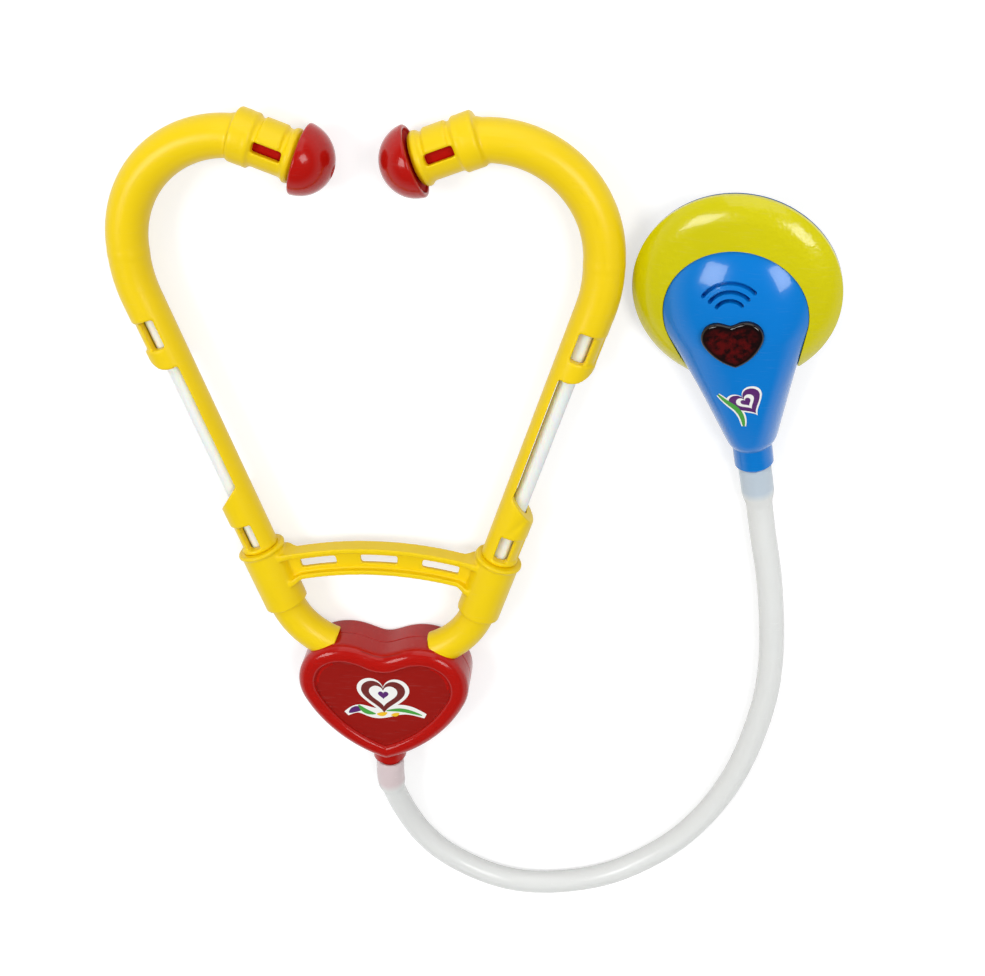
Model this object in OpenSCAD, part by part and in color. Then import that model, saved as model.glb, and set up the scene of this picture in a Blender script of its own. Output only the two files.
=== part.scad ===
// Toy stethoscope lying on a table: a headset with a heart-shaped hub, a soft hose
// and an electronic chest piece. +Z is up from the table, +Y points from the heart to
// the ear tips, and the origin is the middle of the heart's flat back.

/* [Heart hub] */
// Distance of each lobe's centre from the centre line
lobe_x = 13; // [11:0.5:15]
// Height of the lobes' centres above the hub's centre
lobe_y = 9; // [8:0.5:11]
// Radius of each lobe
lobe_r = 16; // [15:0.5:18]
// Radius of the flanks between a lobe and the tip
flank_r = 48; // [44:1:60]
// Distance of the tip below the hub's centre
tip_y = 23; // [21:0.5:27]
// Depth of the notch between the lobes, from the lobes' top
cleft_depth = 4; // [3:0.25:5]
// Thickness of the whole hub
heart_t = 18; // [17:0.5:22]
// Height of the seam between the two shells
seam_z = 8.5; // [7.5:0.25:9]
// Wall of the shells
heart_wall = 2; // [1.6:0.1:2.6]
// Radius of the round front rim
rim_r = 3.6; // [2.8:0.1:4]
// Width of the rim round the sunk front panel
rim_w = 6; // [5:0.25:7]
// Depth of the sunk front panel
panel_depth = 1.6; // [1:0.1:2]
// Round along the edge of the back
back_round = 1.6; // [1:0.1:2.2]

/* [Yoke] */
// Lean of each arm from the centre line, in degrees
arm_lean = 18; // [14:0.5:22]
// Diameter of the curved stubs that enter the heart
stub_d = 11.5; // [10:0.25:12]
// Bend radius of the stubs
stub_bend_r = 26; // [22:1:32]
// Turn of each stub between its socket and the heart, in degrees
stub_turn = 50; // [44:1:56]
// How far each stub reaches past the outline of its lobe
stub_bite = 3; // [2:0.25:4]
// Outer diameter of the arm sockets
socket_d = 14.2; // [13.6:0.2:16]
// Length of the arm sockets
socket_len = 22; // [18:1:26]
// Diameter of the bead round each socket mouth
bead_d = 15.6; // [15.4:0.2:17]
// Radius of the arch's upper edge
arch_r = 120; // [100:5:150]
// Height of the arch's crown above the socket mouths
arch_lift = 3.5; // [2:0.5:5]
// Height of the arch from its lower to its upper edge
arch_h = 12; // [10:0.5:14]
// Depth of the arch's flanges
arch_depth = 9.5; // [8:0.5:11]
// Thickness of the flanges
flange_t = 2.2; // [1.8:0.1:2.8]
// Thickness of the web between the flanges
web_t = 2.6; // [2:0.2:3.2]
// Length of the slots through the web
slot_len = 12; // [9:0.5:14]
// Height of the slots through the web
slot_h = 3; // [2:0.25:4]

/* [Arms] */
// Diameter of the arms' barrels
arm_w = 11.8; // [11:0.2:12.6]
// Diameter of the journal that turns in the socket
journal_d = 10; // [9.4:0.1:10.6]
// Outer diameter of the soft sound tube
tube_d = 5; // [4.4:0.1:5.4]
// Bore of the soft sound tube
tube_bore = 3; // [2.4:0.1:3.4]
// Thickness of the spring strip along the open stretch
strip_t = 2.8; // [2.4:0.1:3]
// Length of the lower barrel on its outer side
lower_len = 16; // [13:0.5:20]
// Slant of the lower barrel's lip
lip_slant = 8; // [5:0.5:10]
// Where the upper barrel starts
upper_start = 66; // [58:1:70]
// Length of the straight stretch of the arm
straight_len = 87.5; // [85:0.5:96]
// Radius of the easy bend above the straight stretch
shoulder_r = 40; // [36:1:50]
// Short straight link between the two bends
link_len = 2; // [1:0.5:4]
// Radius of the bend over the ear
crook_r = 32; // [28:1:36]
// Turn of the bend over the ear, in degrees
crook_turn = 100; // [94:1:104]
// Length of the windows in the barrels
window_len = 9; // [6:0.5:10]
// Width of the windows in the barrels
window_w = 4.4; // [3.6:0.2:5]
// Depth of the step beside the windows
window_step = 0.7; // [0.4:0.1:1]
// Middle of the lower window above the socket mouth
lower_window = 6; // [5:0.5:7]
// Middle of the upper window above the socket mouth
upper_window = 77; // [74:1:80]

/* [Ear tips] */
// Diameter of the ear domes, which also sets the height of the headset
ear_d = 20; // [19:0.5:24]
// Wall of the ear domes
ear_wall = 1.5; // [1.2:0.1:2]
// Diameter of the stem of an ear tip
stem_d = 8; // [7:0.25:8.5]
// Sound hole through an ear tip
ear_hole = 3; // [2:0.25:3.6]
// Kink between the arm and the ear tip, in degrees
ear_kink = 10; // [4:1:16]
// Diameter of the two rings of the ear cage
ring_d = 15.2; // [14.4:0.2:16]
// Width of each ring of the ear cage
ring_t = 3.4; // [2.6:0.2:4]
// Diameter of the barrel between the rings
cage_d = 13.4; // [12.4:0.2:14]
// Length of the ear cage over both rings
cage_len = 15; // [13:0.5:18]
// Height of the slots in the ear cage
cage_slot = 3; // [2:0.25:4]

/* [Hose] */
// Outer diameter of the hose
hose_d = 8; // [7:0.25:9]
// Bore of the hose
hose_bore = 6; // [5:0.25:6.6]
// Diameter of the spigots inside the hose
spigot_d = 7.4; // [7:0.1:7.6]
// Length of the spigots inside the hose
spigot_len = 10; // [8:0.5:12]
// Bore of the spigots
spigot_bore = 4.5; // [3.5:0.25:5]
// Diameter of the collar under the heart
heart_collar_d = 11.6; // [10.6:0.2:12]
// Bare length of the heart's collar and spigot before the hose
heart_collar_len = 5; // [4:0.5:6]

/* [Chest piece] */
// Diameter of the domed disc
disc_d = 57; // [54:1:62]
// Height of the disc's dome
disc_h = 6.5; // [5.5:0.25:7.5]
// Height of the disc's upright edge
edge_h = 1.2; // [0.8:0.1:1.6]
// Radius of the disc's round shoulder
disc_round = 8; // [7:0.25:8.5]
// Wall of the disc and the base
shell_t = 1.8; // [1.4:0.1:2.2]
// Depth of the base below the disc's edge
base_depth = 5.4; // [5:0.2:7]
// Diameter of the flat underside of the base
base_d = 49; // [47:1:52]
// Radius of the cover's round end
cover_r = 19.7; // [18.5:0.25:20.5]
// Centre of the cover's round end, behind the disc's centre
cover_y = 5; // [4:0.5:6]
// Radius of the cover's tail
tail_r = 8; // [7.5:0.25:9]
// Centre of the tail, behind the disc's centre
tail_y = 44.5; // [43.5:0.5:50]
// Height of the cover's crown above the disc's edge
cover_h = 11; // [10:0.25:13]
// Height at which the cover's rolled edge meets its crown
roll_h = 8.5; // [7.5:0.25:9]
// Width of the cover's rolled edge
roll_w = 6.5; // [5:0.25:7]
// Depth of the tail below the disc's edge
tail_depth = 4; // [3.6:0.1:4.4]
// Wall of the cover and the tail
cover_wall = 1.8; // [1.4:0.1:2]
// Width of the heart-shaped lens
lens_w = 17; // [14:0.5:18]
// Height of the lens above the cover's crown
lens_up = 0.5; // [0.3:0.1:1]
// Radius of the largest speaker slot
speaker_slot_r = 9.6; // [8.8:0.2:10.2]
// Width of the speaker slots
speaker_slot_w = 1.1; // [0.9:0.1:1.6]
// Diameter of the push diaphragm
diaphragm_d = 36; // [34:0.5:37]
// Travel of the push diaphragm
diaphragm_travel = 1.5; // [1:0.1:2]
// Diameter of the neck collar
neck_d = 11.6; // [10.6:0.2:12]
// Length of the neck collar past the tail
neck_len = 4.5; // [4:0.5:8]
// Diameter of a button cell
cell_d = 7.9; // [7:0.1:8.5]
// Thickness of a button cell
cell_t = 3.6; // [3:0.1:4]

/* [Place of the chest piece] */
// Disc centre to the right of the heart
chest_x = 103.9; // [95:0.5:120]
// Disc centre above the heart
chest_y = 149; // [140:0.5:160]
// Turn on the table, in degrees
chest_turn = 10.5; // [0:0.5:20]
// Lean towards the neck, in degrees
lean_back = 8.5; // [6:0.5:10]
// Lean towards the headset, in degrees
lean_side = 14.5; // [10:0.5:16]

/* [Hidden] */
$fn = 64;

yellow = "#edce05";
red = "#c41e14";
blue = "#0073cd";
lime = "#dcd20f";
clear_white = "#dee0d8";
steel = "#b8bcc0";

// Overrun of every cut, and the clearances of the fits
over = 1;
run_gap = 0.05;
seat_gap = 0.15;
tube_gap = 0.3;
slide_gap = 0.3;

// Screws, shared by every closed housing
screw_d = 2.2;
screw_head_d = 4;
screw_head_t = 1.2;
pilot_d = 1.8;
boss_d = 4;

// Points round the heart, and the steps of a rounded edge
heart_n = 72;
round_steps = 5;

arm_z = ear_d / 2;
journal_len = socket_len - 2 * over;
bore_d = tube_d + 2 * tube_gap;
panel_z = heart_t - panel_depth;

// Point turned by an angle about the origin
function turned(p, a) = [p.x * cos(a) - p.y * sin(a), p.x * sin(a) + p.y * cos(a)];

// Distance at which a ray from the origin leaves a circle, or 0 where it misses
function ray_exit(c, r, a) =
    let (b = c.x * cos(a) + c.y * sin(a), q = r * r - c * c + b * b)
    q < 0 ? 0 : b + sqrt(q);

// Heart outline: two lobes, and two flanks that touch them and meet at the tip
tip_to_lobe = lobe_y + tip_y;
flank_shift = flank_r - lobe_r;
flank_sum = pow(flank_r, 2) - pow(lobe_x, 2) - pow(tip_to_lobe, 2) - pow(flank_shift, 2);
flank_a = atan2(lobe_x, tip_to_lobe)
    + asin(flank_sum / (2 * flank_shift * norm([tip_to_lobe, lobe_x])));
flank_c = [lobe_x - flank_shift * cos(flank_a), lobe_y + flank_shift * sin(flank_a)];
cleft_y = lobe_y + lobe_r - cleft_depth;
cleft_half = lobe_x - sqrt(pow(lobe_r, 2) - pow(cleft_y - lobe_y, 2));

function heart_radius(a, inset) =
    let (
        lobes = max(ray_exit([lobe_x, lobe_y], lobe_r - inset, a),
            ray_exit([-lobe_x, lobe_y], lobe_r - inset, a)),
        flanks = min(ray_exit(flank_c, flank_r - inset, a),
            ray_exit([-flank_c.x, flank_c.y], flank_r - inset, a)),
        waist = lobe_y - (lobe_r - inset) * sin(flank_a),
        body = sin(a) > 0 ? min(flanks, waist / sin(a)) : flanks,
        valley = sin(a) > 0 ? (cleft_y - inset) / sin(a) : 0,
        filled = abs(valley * cos(a)) < cleft_half + inset / 2 ? valley : 0
    )
    max(lobes, body, filled);

function heart_ring(inset, z, size = 1) =
    [for (i = [0:heart_n - 1]) let (a = i * 360 / heart_n, r = size * heart_radius(a, inset))
        [r * cos(a), r * sin(a), z]];

function flat(ring) = [for (p = ring) [p.x, p.y]];

// Closed skin over rings of equal length, from a first cap to a last one
module skin(rings) {
    n = len(rings[0]);
    m = len(rings);
    points = [for (ring = rings) each ring];
    sides = [for (j = [0:m - 2], i = [0:n - 1]) let (k = (i + 1) % n)
        each [[j * n + i, (j + 1) * n + i, (j + 1) * n + k], [j * n + i, (j + 1) * n + k, j * n + k]]];
    first = [for (i = [0:n - 1]) i];
    last = [for (i = [n - 1:-1:0]) (m - 1) * n + i];
    polyhedron(points, concat(sides, [first, last]), convexity = 10);
}

// Socket mouths, found from where the stubs seat in the lobes
stub_end = [lobe_x + (lobe_r - stub_bite) * cos(90 - arm_lean),
    lobe_y + (lobe_r - stub_bite) * sin(90 - arm_lean)];
stub_run = [-stub_bend_r * (1 - cos(stub_turn)), -socket_len - stub_bend_r * sin(stub_turn)];
mouth = stub_end - turned(stub_run, -arm_lean);

// Frame of the right arm: origin at its socket mouth, +Y up the arm, +X outwards
module at_arm() {
    translate([mouth.x, mouth.y, arm_z]) rotate([0, 0, -arm_lean]) children();
}

module both_sides() {
    children();
    mirror([1, 0, 0]) children();
}

// Centres of the two bends, and the far end of the arm, in the arm's frame
shoulder_c = [-shoulder_r, straight_len];
crook_c = shoulder_c + turned([shoulder_r - crook_r, link_len], arm_lean);
crook_end_a = arm_lean + crook_turn;
arm_end = crook_c + crook_r * [cos(crook_end_a), sin(crook_end_a)];

// Frame of the ear tip: origin at the arm's end, +X out through the dome
module at_ear() {
    at_arm() translate([arm_end.x, arm_end.y, 0])
        rotate([0, 0, crook_end_a + 90 + ear_kink]) rotate([0, 90, 0]) children();
}

// Swell of the link, which gives each bend an edge of its own
link_swell = 1.01;

// Section swept along the arm from a start on the straight stretch to the arm's end
module along_arm(start) {
    translate([0, start, 0]) rotate([-90, 0, 0]) linear_extrude(straight_len - start) children();
    translate([shoulder_c.x, shoulder_c.y, 0])
        rotate_extrude(angle = arm_lean) translate([shoulder_r, 0]) children();
    translate([crook_c.x, crook_c.y, 0]) rotate([0, 0, arm_lean]) {
        translate([crook_r, -link_len, 0]) rotate([-90, 0, 0]) linear_extrude(link_len)
            scale(link_swell) children();
        rotate_extrude(angle = crook_turn) translate([crook_r, 0]) children();
    }
}

// Space outside the spring strip along the open stretch, with a slanted lower and a
// round upper lip
lip_r = 0.62 * arm_w;
lip_x = -0.1 * arm_w;

module open_stretch() {
    strip_x = strip_t - arm_w / 2;
    side_x = arm_w / 2 + over;
    lip_y = upper_start + lip_r;
    translate([0, 0, -arm_w]) linear_extrude(2 * arm_w) difference() {
        polygon([[strip_x, lower_len + lip_slant], [side_x, lower_len], [side_x, lip_y], [strip_x, lip_y]]);
        translate([lip_x, lip_y]) circle(lip_r);
    }
}

// Ear tip socket: two rings joined by a slotted barrel, on a heel inside the arm's end
heel_len = 2;
heel_d = arm_w - heel_len;

module ear_cage() {
    ring_round = ring_t / 3;
    difference() {
        union() {
            for (z = [0, cage_len - ring_t]) translate([0, 0, z])
                rotate_extrude() polygon([[0, 0], [ring_d / 2 - ring_round, 0],
                    [ring_d / 2, ring_round], [ring_d / 2, ring_t - ring_round],
                    [ring_d / 2 - ring_round, ring_t], [0, ring_t]]);
            cylinder(d = cage_d, h = cage_len);
            translate([0, 0, -heel_len]) cylinder(d = heel_d, h = cage_len);
        }
        for (x = [-1, 1]) translate([x * cage_d / 2, 0, cage_len / 2])
            cube([cage_d - stem_d + over, cage_slot, cage_len - 2 * ring_t], center = true);
    }
}

// Window to the tube, beside a shallow step in the barrel's outer half
module window() {
    translate([0, 0, arm_w / 2]) cube([window_w, window_len, arm_w], center = true);
    difference() {
        translate([0, -window_len / 2, 0]) cube([arm_w, window_len, arm_w]);
        translate([0, window_len, 0]) rotate([90, 0, 0])
            cylinder(d = arm_w - 2 * window_step, h = 2 * window_len);
    }
}

module arm() {
    color(yellow) difference() {
        union() {
            at_arm() {
                difference() {
                    along_arm(seat_gap) difference() {
                        circle(d = arm_w);
                        circle(d = bore_d);
                    }
                    open_stretch();
                    for (y = [lower_window, upper_window]) translate([0, y, 0]) window();
                }
                translate([0, seat_gap, 0]) rotate([90, 0, 0]) linear_extrude(journal_len + seat_gap)
                    difference() {
                        circle(d = journal_d);
                        circle(d = bore_d);
                    }
            }
            at_ear() ear_cage();
        }
        at_ear() translate([0, 0, -heel_len - over])
            cylinder(r = stem_d / 2 + run_gap, h = heel_len + cage_len + 2 * over);
    }
}

// Soft tube inside the arm, from the journal's foot to the ear tip's stem
module arm_tube() {
    color(clear_white) at_arm() along_arm(-journal_len) difference() {
        circle(d = tube_d);
        circle(d = tube_bore);
    }
}

// Hollow dome on a stem that turns in the ear cage
module ear_tip() {
    dome_z = cage_len + seat_gap;
    stem_z = ring_t / 2 + seat_gap;
    color(red) at_ear() difference() {
        union() {
            translate([0, 0, dome_z]) rotate_extrude() intersection() {
                difference() {
                    circle(d = ear_d);
                    circle(r = ear_d / 2 - ear_wall);
                }
                square(ear_d);
            }
            translate([0, 0, stem_z]) cylinder(d = stem_d, h = dome_z + ear_d / 2 - ear_wall - stem_z);
        }
        translate([0, 0, stem_z - over]) cylinder(d = ear_hole, h = dome_z + ear_d);
    }
}

module stub_section() circle(d = stub_d);

// Curved stub below a socket, in the arm's frame
module stub_sweep() {
    translate([-stub_bend_r, -socket_len, 0]) rotate([0, 0, -stub_turn])
        rotate_extrude(angle = stub_turn) translate([stub_bend_r, 0]) children();
}

module socket() {
    bead_r = (bead_d - socket_d) / 2;
    rotate([90, 0, 0]) cylinder(d = socket_d, h = socket_len);
    translate([0, -bead_r, 0]) rotate([90, 0, 0]) rotate_extrude() {
        translate([socket_d / 2, 0]) circle(bead_r);
        translate([0, -bead_r]) square([socket_d / 2, 2 * bead_r]);
    }
}

// Arched channel between the sockets: two flanges and a slotted web
arch_c = mouth.y + arch_lift - arch_r;
arch_half = asin((mouth.x - socket_d / 4) / (arch_r - arch_h / 2));
slot_half = slot_len / 2 / (arch_r - arch_h / 2) * 180 / PI;
slot_place_shares = [-0.56, 0, 0.56];

module arch_band(half) {
    translate([0, arch_c, arm_z]) rotate([0, 0, 90 - half]) rotate_extrude(angle = 2 * half) children();
}

module arch() {
    difference() {
        arch_band(arch_half) {
            translate([arch_r - arch_h, -web_t / 2]) square([arch_h, web_t]);
            for (r = [arch_r - arch_h, arch_r - flange_t])
                translate([r, -arch_depth / 2]) square([flange_t, arch_depth]);
        }
        for (share = slot_place_shares) translate([0, arch_c, 0]) rotate([0, 0, share * arch_half])
            translate([0, -arch_c, 0]) arch_band(slot_half)
                translate([arch_r - arch_h / 2 - slot_h / 2, -web_t]) square([slot_h, 2 * web_t]);
    }
}

module yoke() {
    socket_floor = socket_len - over;
    color(yellow) difference() {
        union() {
            arch();
            both_sides() at_arm() {
                socket();
                stub_sweep() stub_section();
            }
        }
        both_sides() at_arm() {
            translate([0, over, 0]) rotate([90, 0, 0])
                cylinder(r = journal_d / 2 + run_gap, h = socket_floor + over);
            rotate([90, 0, 0]) cylinder(d = bore_d + 2 * tube_gap, h = socket_len);
            stub_sweep() circle(d = bore_d);
        }
    }
}

// Room for the stubs and the spigot where they pass the hub's walls
module hub_passages() {
    both_sides() at_arm() {
        stub_sweep() circle(d = stub_d + 2 * seat_gap);
        translate([stub_run.x, stub_run.y, 0]) rotate([90, 0, -stub_turn]) translate([0, 0, -over])
            cylinder(d = stub_d + 4 * seat_gap, h = 2 * over);
    }
    translate([0, -tip_y + hub_flange_y, arm_z]) rotate([90, 0, 0]) {
        cylinder(d = hub_neck_d + 2 * seat_gap, h = tip_y);
        translate([0, 0, -seat_gap])
            cylinder(d = hub_flange_d + 2 * seat_gap, h = hub_flange_t + 2 * seat_gap);
        translate([0, 0, hub_flange_y - collar_bite - seat_gap])
            cylinder(d = heart_collar_d + 2 * over, h = tip_y);
    }
}

// Spigot's trapped flange inside the tip, and the neck behind the collar
hub_flange_d = 8.6;
hub_flange_t = 2;
hub_neck_d = 6.6;
hub_flange_y = 9;
collar_bite = 1.5;

// Places of the three screws of the hub
hub_screws = [[lobe_x, lobe_y / 2], [-lobe_x, lobe_y / 2], [0, -tip_y / 4]];

module heart_back_shell() {
    color(red) difference() {
        union() {
            skin(concat(
                [for (i = [0:round_steps]) let (a = i * 90 / round_steps)
                    heart_ring(back_round * (1 - sin(a)), back_round * (1 - cos(a)))],
                [heart_ring(0, seam_z), heart_ring(heart_wall, seam_z), heart_ring(heart_wall, heart_wall)]));
            for (p = hub_screws) translate([p.x, p.y, heart_wall / 2])
                cylinder(d = boss_d + 2 * over, h = seam_z - heart_wall / 2);
        }
        for (p = hub_screws) translate(p) {
            translate([0, 0, -over])
                cylinder(d = screw_head_d + 2 * slide_gap, h = heart_wall + screw_head_t + over);
            translate([0, 0, -over]) cylinder(d = screw_d + 2 * seat_gap, h = heart_t);
        }
        hub_passages();
    }
}

module heart_front_shell() {
    inner_round = panel_depth;
    color(red) difference() {
        union() {
            skin(concat(
                [heart_ring(heart_wall, panel_z - heart_wall), heart_ring(heart_wall, seam_z),
                    heart_ring(0, seam_z)],
                [for (i = [0:round_steps]) let (a = i * 90 / round_steps)
                    heart_ring(rim_r * (1 - cos(a)), heart_t - rim_r * (1 - sin(a)))],
                [for (i = [1:round_steps]) let (a = i * 90 / round_steps)
                    heart_ring(rim_w - inner_round * (1 - sin(a)), heart_t - inner_round * (1 - cos(a)))]));
            for (p = hub_screws) translate([p.x, p.y, seam_z])
                cylinder(d = boss_d + over, h = panel_z - seam_z - heart_wall / 2);
        }
        for (p = hub_screws) translate([p.x, p.y, seam_z - over])
            cylinder(d = pilot_d, h = panel_z - heart_wall - seam_z + over);
        hub_passages();
    }
}

// Pan-head screw that points up from its head at the origin
module screw(length) {
    cylinder(d = screw_head_d, h = screw_head_t);
    cylinder(d = pilot_d - 2 * run_gap, h = length);
}

module heart_screws() {
    color(steel) for (p = hub_screws) translate([p.x, p.y, heart_wall])
        screw(panel_z - 2 * heart_wall - over);
}

// Red spigot: trapped flange, neck, collar under the tip and the barrel in the hose
spigot_y = -tip_y - heart_collar_len;

module heart_spigot() {
    color(red) translate([0, 0, arm_z]) rotate([90, 0, 0]) difference() {
        union() {
            translate([0, 0, tip_y - hub_flange_y]) cylinder(d = hub_flange_d, h = hub_flange_t);
            translate([0, 0, tip_y - hub_flange_y]) cylinder(d = hub_neck_d, h = hub_flange_y);
            translate([0, 0, tip_y - collar_bite])
                cylinder(d = heart_collar_d, h = heart_collar_len / 2 + collar_bite);
            translate([0, 0, tip_y]) cylinder(d = spigot_d, h = heart_collar_len + spigot_len);
        }
        translate([0, 0, tip_y - hub_flange_y - over])
            cylinder(d = spigot_bore, h = 2 * tip_y + spigot_len);
    }
}

// Rings at each end of the hose that are stretched over a spigot
hose_grip = 2;
hose_stretch = 0.9;

// Chest piece, in its own frame: origin at the disc's centre on its lower edge, the neck
// towards -Y. It lies on the edge of its base and on its neck, so it leans.
chest_up = [sin(lean_side), cos(lean_side) * sin(lean_back), cos(lean_side) * cos(lean_back)];
chest_z = base_depth * chest_up.z + base_d / 2 * norm([chest_up.x, chest_up.y]);

tail_end = tail_y + tail_r;
neck_end = tail_end + neck_len;
neck_z = (hose_d / 2 + hose_stretch + (neck_end + spigot_len) * chest_up.y - chest_z) / chest_up.z;

// Point of the chest piece in the shared frame
function chest_point(p) =
    let (
        q = [p.x, p.y * cos(lean_back) - p.z * sin(lean_back), p.y * sin(lean_back) + p.z * cos(lean_back)],
        r = [q.x * cos(lean_side) - q.z * sin(lean_side), q.y, q.x * sin(lean_side) + q.z * cos(lean_side)],
        t = turned([r.x, r.y], chest_turn)
    )
    [chest_x + t.x, chest_y + t.y, chest_z + r.z];

module at_chest() {
    translate([chest_x, chest_y, chest_z]) rotate([lean_back, -lean_side, chest_turn]) children();
}

// Route of the hose's middle, from the heart's spigot over the table to the chest's
hose_table_route = [
    [1.2, -46, 8.4], [4, -57, 5.6], [9, -68, 4.2], [16.5, -77, 4], [25.5, -83.5, 4], [36, -88.5, 4],
    [47.5, -91, 4], [59, -90.5, 4], [70, -88, 4], [81, -83.5, 4], [91.5, -76.5, 4], [101.5, -67.5, 4],
    [109.5, -57.5, 4], [116, -46.5, 4], [121.2, -34.5, 4], [125, -22, 4], [127.6, -9, 4], [129.2, 4, 4],
    [129.4, 17, 4], [128.4, 30, 4], [126.6, 43, 4], [124.4, 55, 4], [121.8, 66, 4.1]];
hose_route = concat(
    [[0, spigot_y, arm_z], [0, spigot_y - spigot_len, arm_z]], hose_table_route,
    [for (l = [spigot_len, 0]) chest_point([0, -neck_end - l, neck_z])]);
hose_sides = 10;

function unit(v) = v / norm(v);

function hose_heading(i) =
    let (last = len(hose_route) - 1)
    unit(hose_route[min(i + 1, last)] - hose_route[max(i - 1, 0)]);

function hose_ring(i, r) =
    let (
        along = hose_heading(i),
        side = unit(cross(along, [0, 0, 1])),
        up = cross(side, along),
        last = len(hose_route) - 1,
        wide = i < hose_grip || last - i < hose_grip ? hose_stretch : 0
    )
    [for (k = [0:hose_sides - 1]) let (a = (k + 0.5) * 360 / hose_sides)
        hose_route[i] + (r + wide) * (side * cos(a) + up * sin(a))];

module hose() {
    n = hose_sides;
    m = len(hose_route);
    flat_r = 1 / cos(180 / n);
    outer = [for (i = [0:m - 1]) each hose_ring(i, hose_d / 2)];
    inner = [for (i = [0:m - 1]) each hose_ring(i, hose_bore / 2 * flat_r)];
    both = n * m;
    walls = [for (j = [0:m - 2], i = [0:n - 1]) let (
            k = (i + 1) % n, a = j * n + i, b = a + n, c = (j + 1) * n + k, d = j * n + k)
        each [[a, c, b], [a, d, c], [both + a, both + b, both + c], [both + a, both + c, both + d]]];
    ends = [for (i = [0:n - 1]) let (k = (i + 1) % n, e = (m - 1) * n)
        each [[i, both + i, both + k], [i, both + k, k],
            [e + i, both + e + k, both + e + i], [e + i, e + k, both + e + k]]];
    color(clear_white) polyhedron(concat(outer, inner), concat(walls, ends), convexity = 10);
}

// Teardrop of the cover: a large and a small arc joined by their common tangents, with
// both radii less an inset, and drawn together about a point by a share
cover_slope = asin((cover_r - tail_r) / (tail_y - cover_y));
cover_n = 24;
tail_n = 12;
cover_c = [0, -cover_y - cover_r / 2];

function teardrop(inset, z, share = 1) =
    let (
        outline = concat(
            [for (i = [0:cover_n]) let (a = -cover_slope + i * (180 + 2 * cover_slope) / cover_n)
                [(cover_r - inset) * cos(a), (cover_r - inset) * sin(a) - cover_y]],
            [for (i = [0:tail_n]) let (a = 180 + cover_slope + i * (180 - 2 * cover_slope) / tail_n)
                [(tail_r - inset) * cos(a), (tail_r - inset) * sin(a) - tail_y]])
    )
    [for (p = outline) let (q = cover_c + share * (p - cover_c)) [q.x, q.y, z]];

// Rings over a rolled edge and a crown that goes on from it, in by a wall
roll_a = 68;
crown_shares = [0.8, 0.55, 0.25];

function cover_rings(wall) =
    let (
        edge_h = roll_h - wall,
        crown_z = edge_h * sin(roll_a),
        crown_inset = wall + roll_w * (1 - cos(roll_a)),
        rise = cover_h - wall - crown_z
    )
    concat(
        [for (i = [0:round_steps]) let (a = i * roll_a / round_steps)
            teardrop(wall + roll_w * (1 - cos(a)), edge_h * sin(a))],
        [for (k = crown_shares) teardrop(crown_inset, crown_z + rise * (1 - k * k), k)]);

function backwards(list) = [for (i = [len(list) - 1:-1:0]) list[i]];

module cover_solid() skin(cover_rings(0));

module cover_shell() skin(concat(backwards(cover_rings(cover_wall)), cover_rings(0)));

// Lower half of the tail, with a rolled edge and a flat bottom
tail_roll = 3;

module tail_solid() {
    skin([for (i = [round_steps:-1:0]) let (a = i * 90 / round_steps)
        teardrop(tail_roll * (1 - cos(a)), -tail_depth * sin(a))]);
}

neck_in = tail_end - tail_r / 2;

module neck_passage() {
    translate([0, -neck_in + seat_gap, neck_z]) rotate([90, 0, 0])
        cylinder(d = neck_d + 2 * seat_gap, h = tail_r);
}

// Screw places: two bosses on the disc and one on the cover, all outside the diaphragm
diaphragm_lip = 1.2;
chest_screw_r = diaphragm_d / 2 + diaphragm_lip + boss_d / 2 + slide_gap;
disc_screw_angles = [30, 150];
cover_screw = [0, -chest_screw_r];
chest_screw_places = concat([for (a = disc_screw_angles) chest_screw_r * [cos(a), sin(a)]], [cover_screw]);
boss_foot = -base_depth + shell_t;

// Half section of the disc, in by a wall: a low cap, and a round shoulder that touches the
// cap and ends at the upright edge. Angles are the lean of the surface.
disc_round_drop = 3;
disc_round_x = disc_d / 2 - sqrt(pow(disc_round, 2) - pow(edge_h + disc_round_drop, 2));
dome_r = (pow(disc_round_x, 2) + pow(disc_h + disc_round_drop, 2) - pow(disc_round, 2))
    / (2 * (disc_h + disc_round_drop - disc_round));
disc_cap_lean = asin(disc_round_x / (dome_r - disc_round));
disc_edge_lean = acos((edge_h + disc_round_drop) / disc_round);
disc_cap_steps = 3;
disc_round_steps = 8;

module dome_profile(wall, bottom) {
    cap = dome_r - wall;
    shoulder = disc_round - wall;
    polygon(concat(
        [for (i = [0:disc_cap_steps]) let (a = i * disc_cap_lean / disc_cap_steps)
            [cap * sin(a), disc_h - dome_r + cap * cos(a)]],
        [for (i = [1:disc_round_steps])
            let (a = disc_cap_lean + i * (disc_edge_lean - disc_cap_lean) / disc_round_steps)
            [disc_round_x + shoulder * sin(a), shoulder * cos(a) - disc_round_drop]],
        [[disc_d / 2 - wall, bottom], [0, bottom]]));
}

module chest_disc() {
    color(lime) at_chest() difference() {
        union() {
            rotate_extrude() difference() {
                dome_profile(0, 0);
                dome_profile(shell_t, -over);
            }
            intersection() {
                for (a = disc_screw_angles) rotate([0, 0, a]) translate([chest_screw_r, 0, boss_foot])
                    cylinder(d = boss_d, h = disc_h - boss_foot);
                rotate_extrude() dome_profile(shell_t / 2, boss_foot);
            }
        }
        translate([0, 0, -over]) linear_extrude(cover_h) polygon(flat(teardrop(-slide_gap, 0)));
        for (a = disc_screw_angles) rotate([0, 0, a]) translate([chest_screw_r, 0, boss_foot - over])
            cylinder(d = pilot_d, h = over - boss_foot + edge_h);
    }
}

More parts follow.
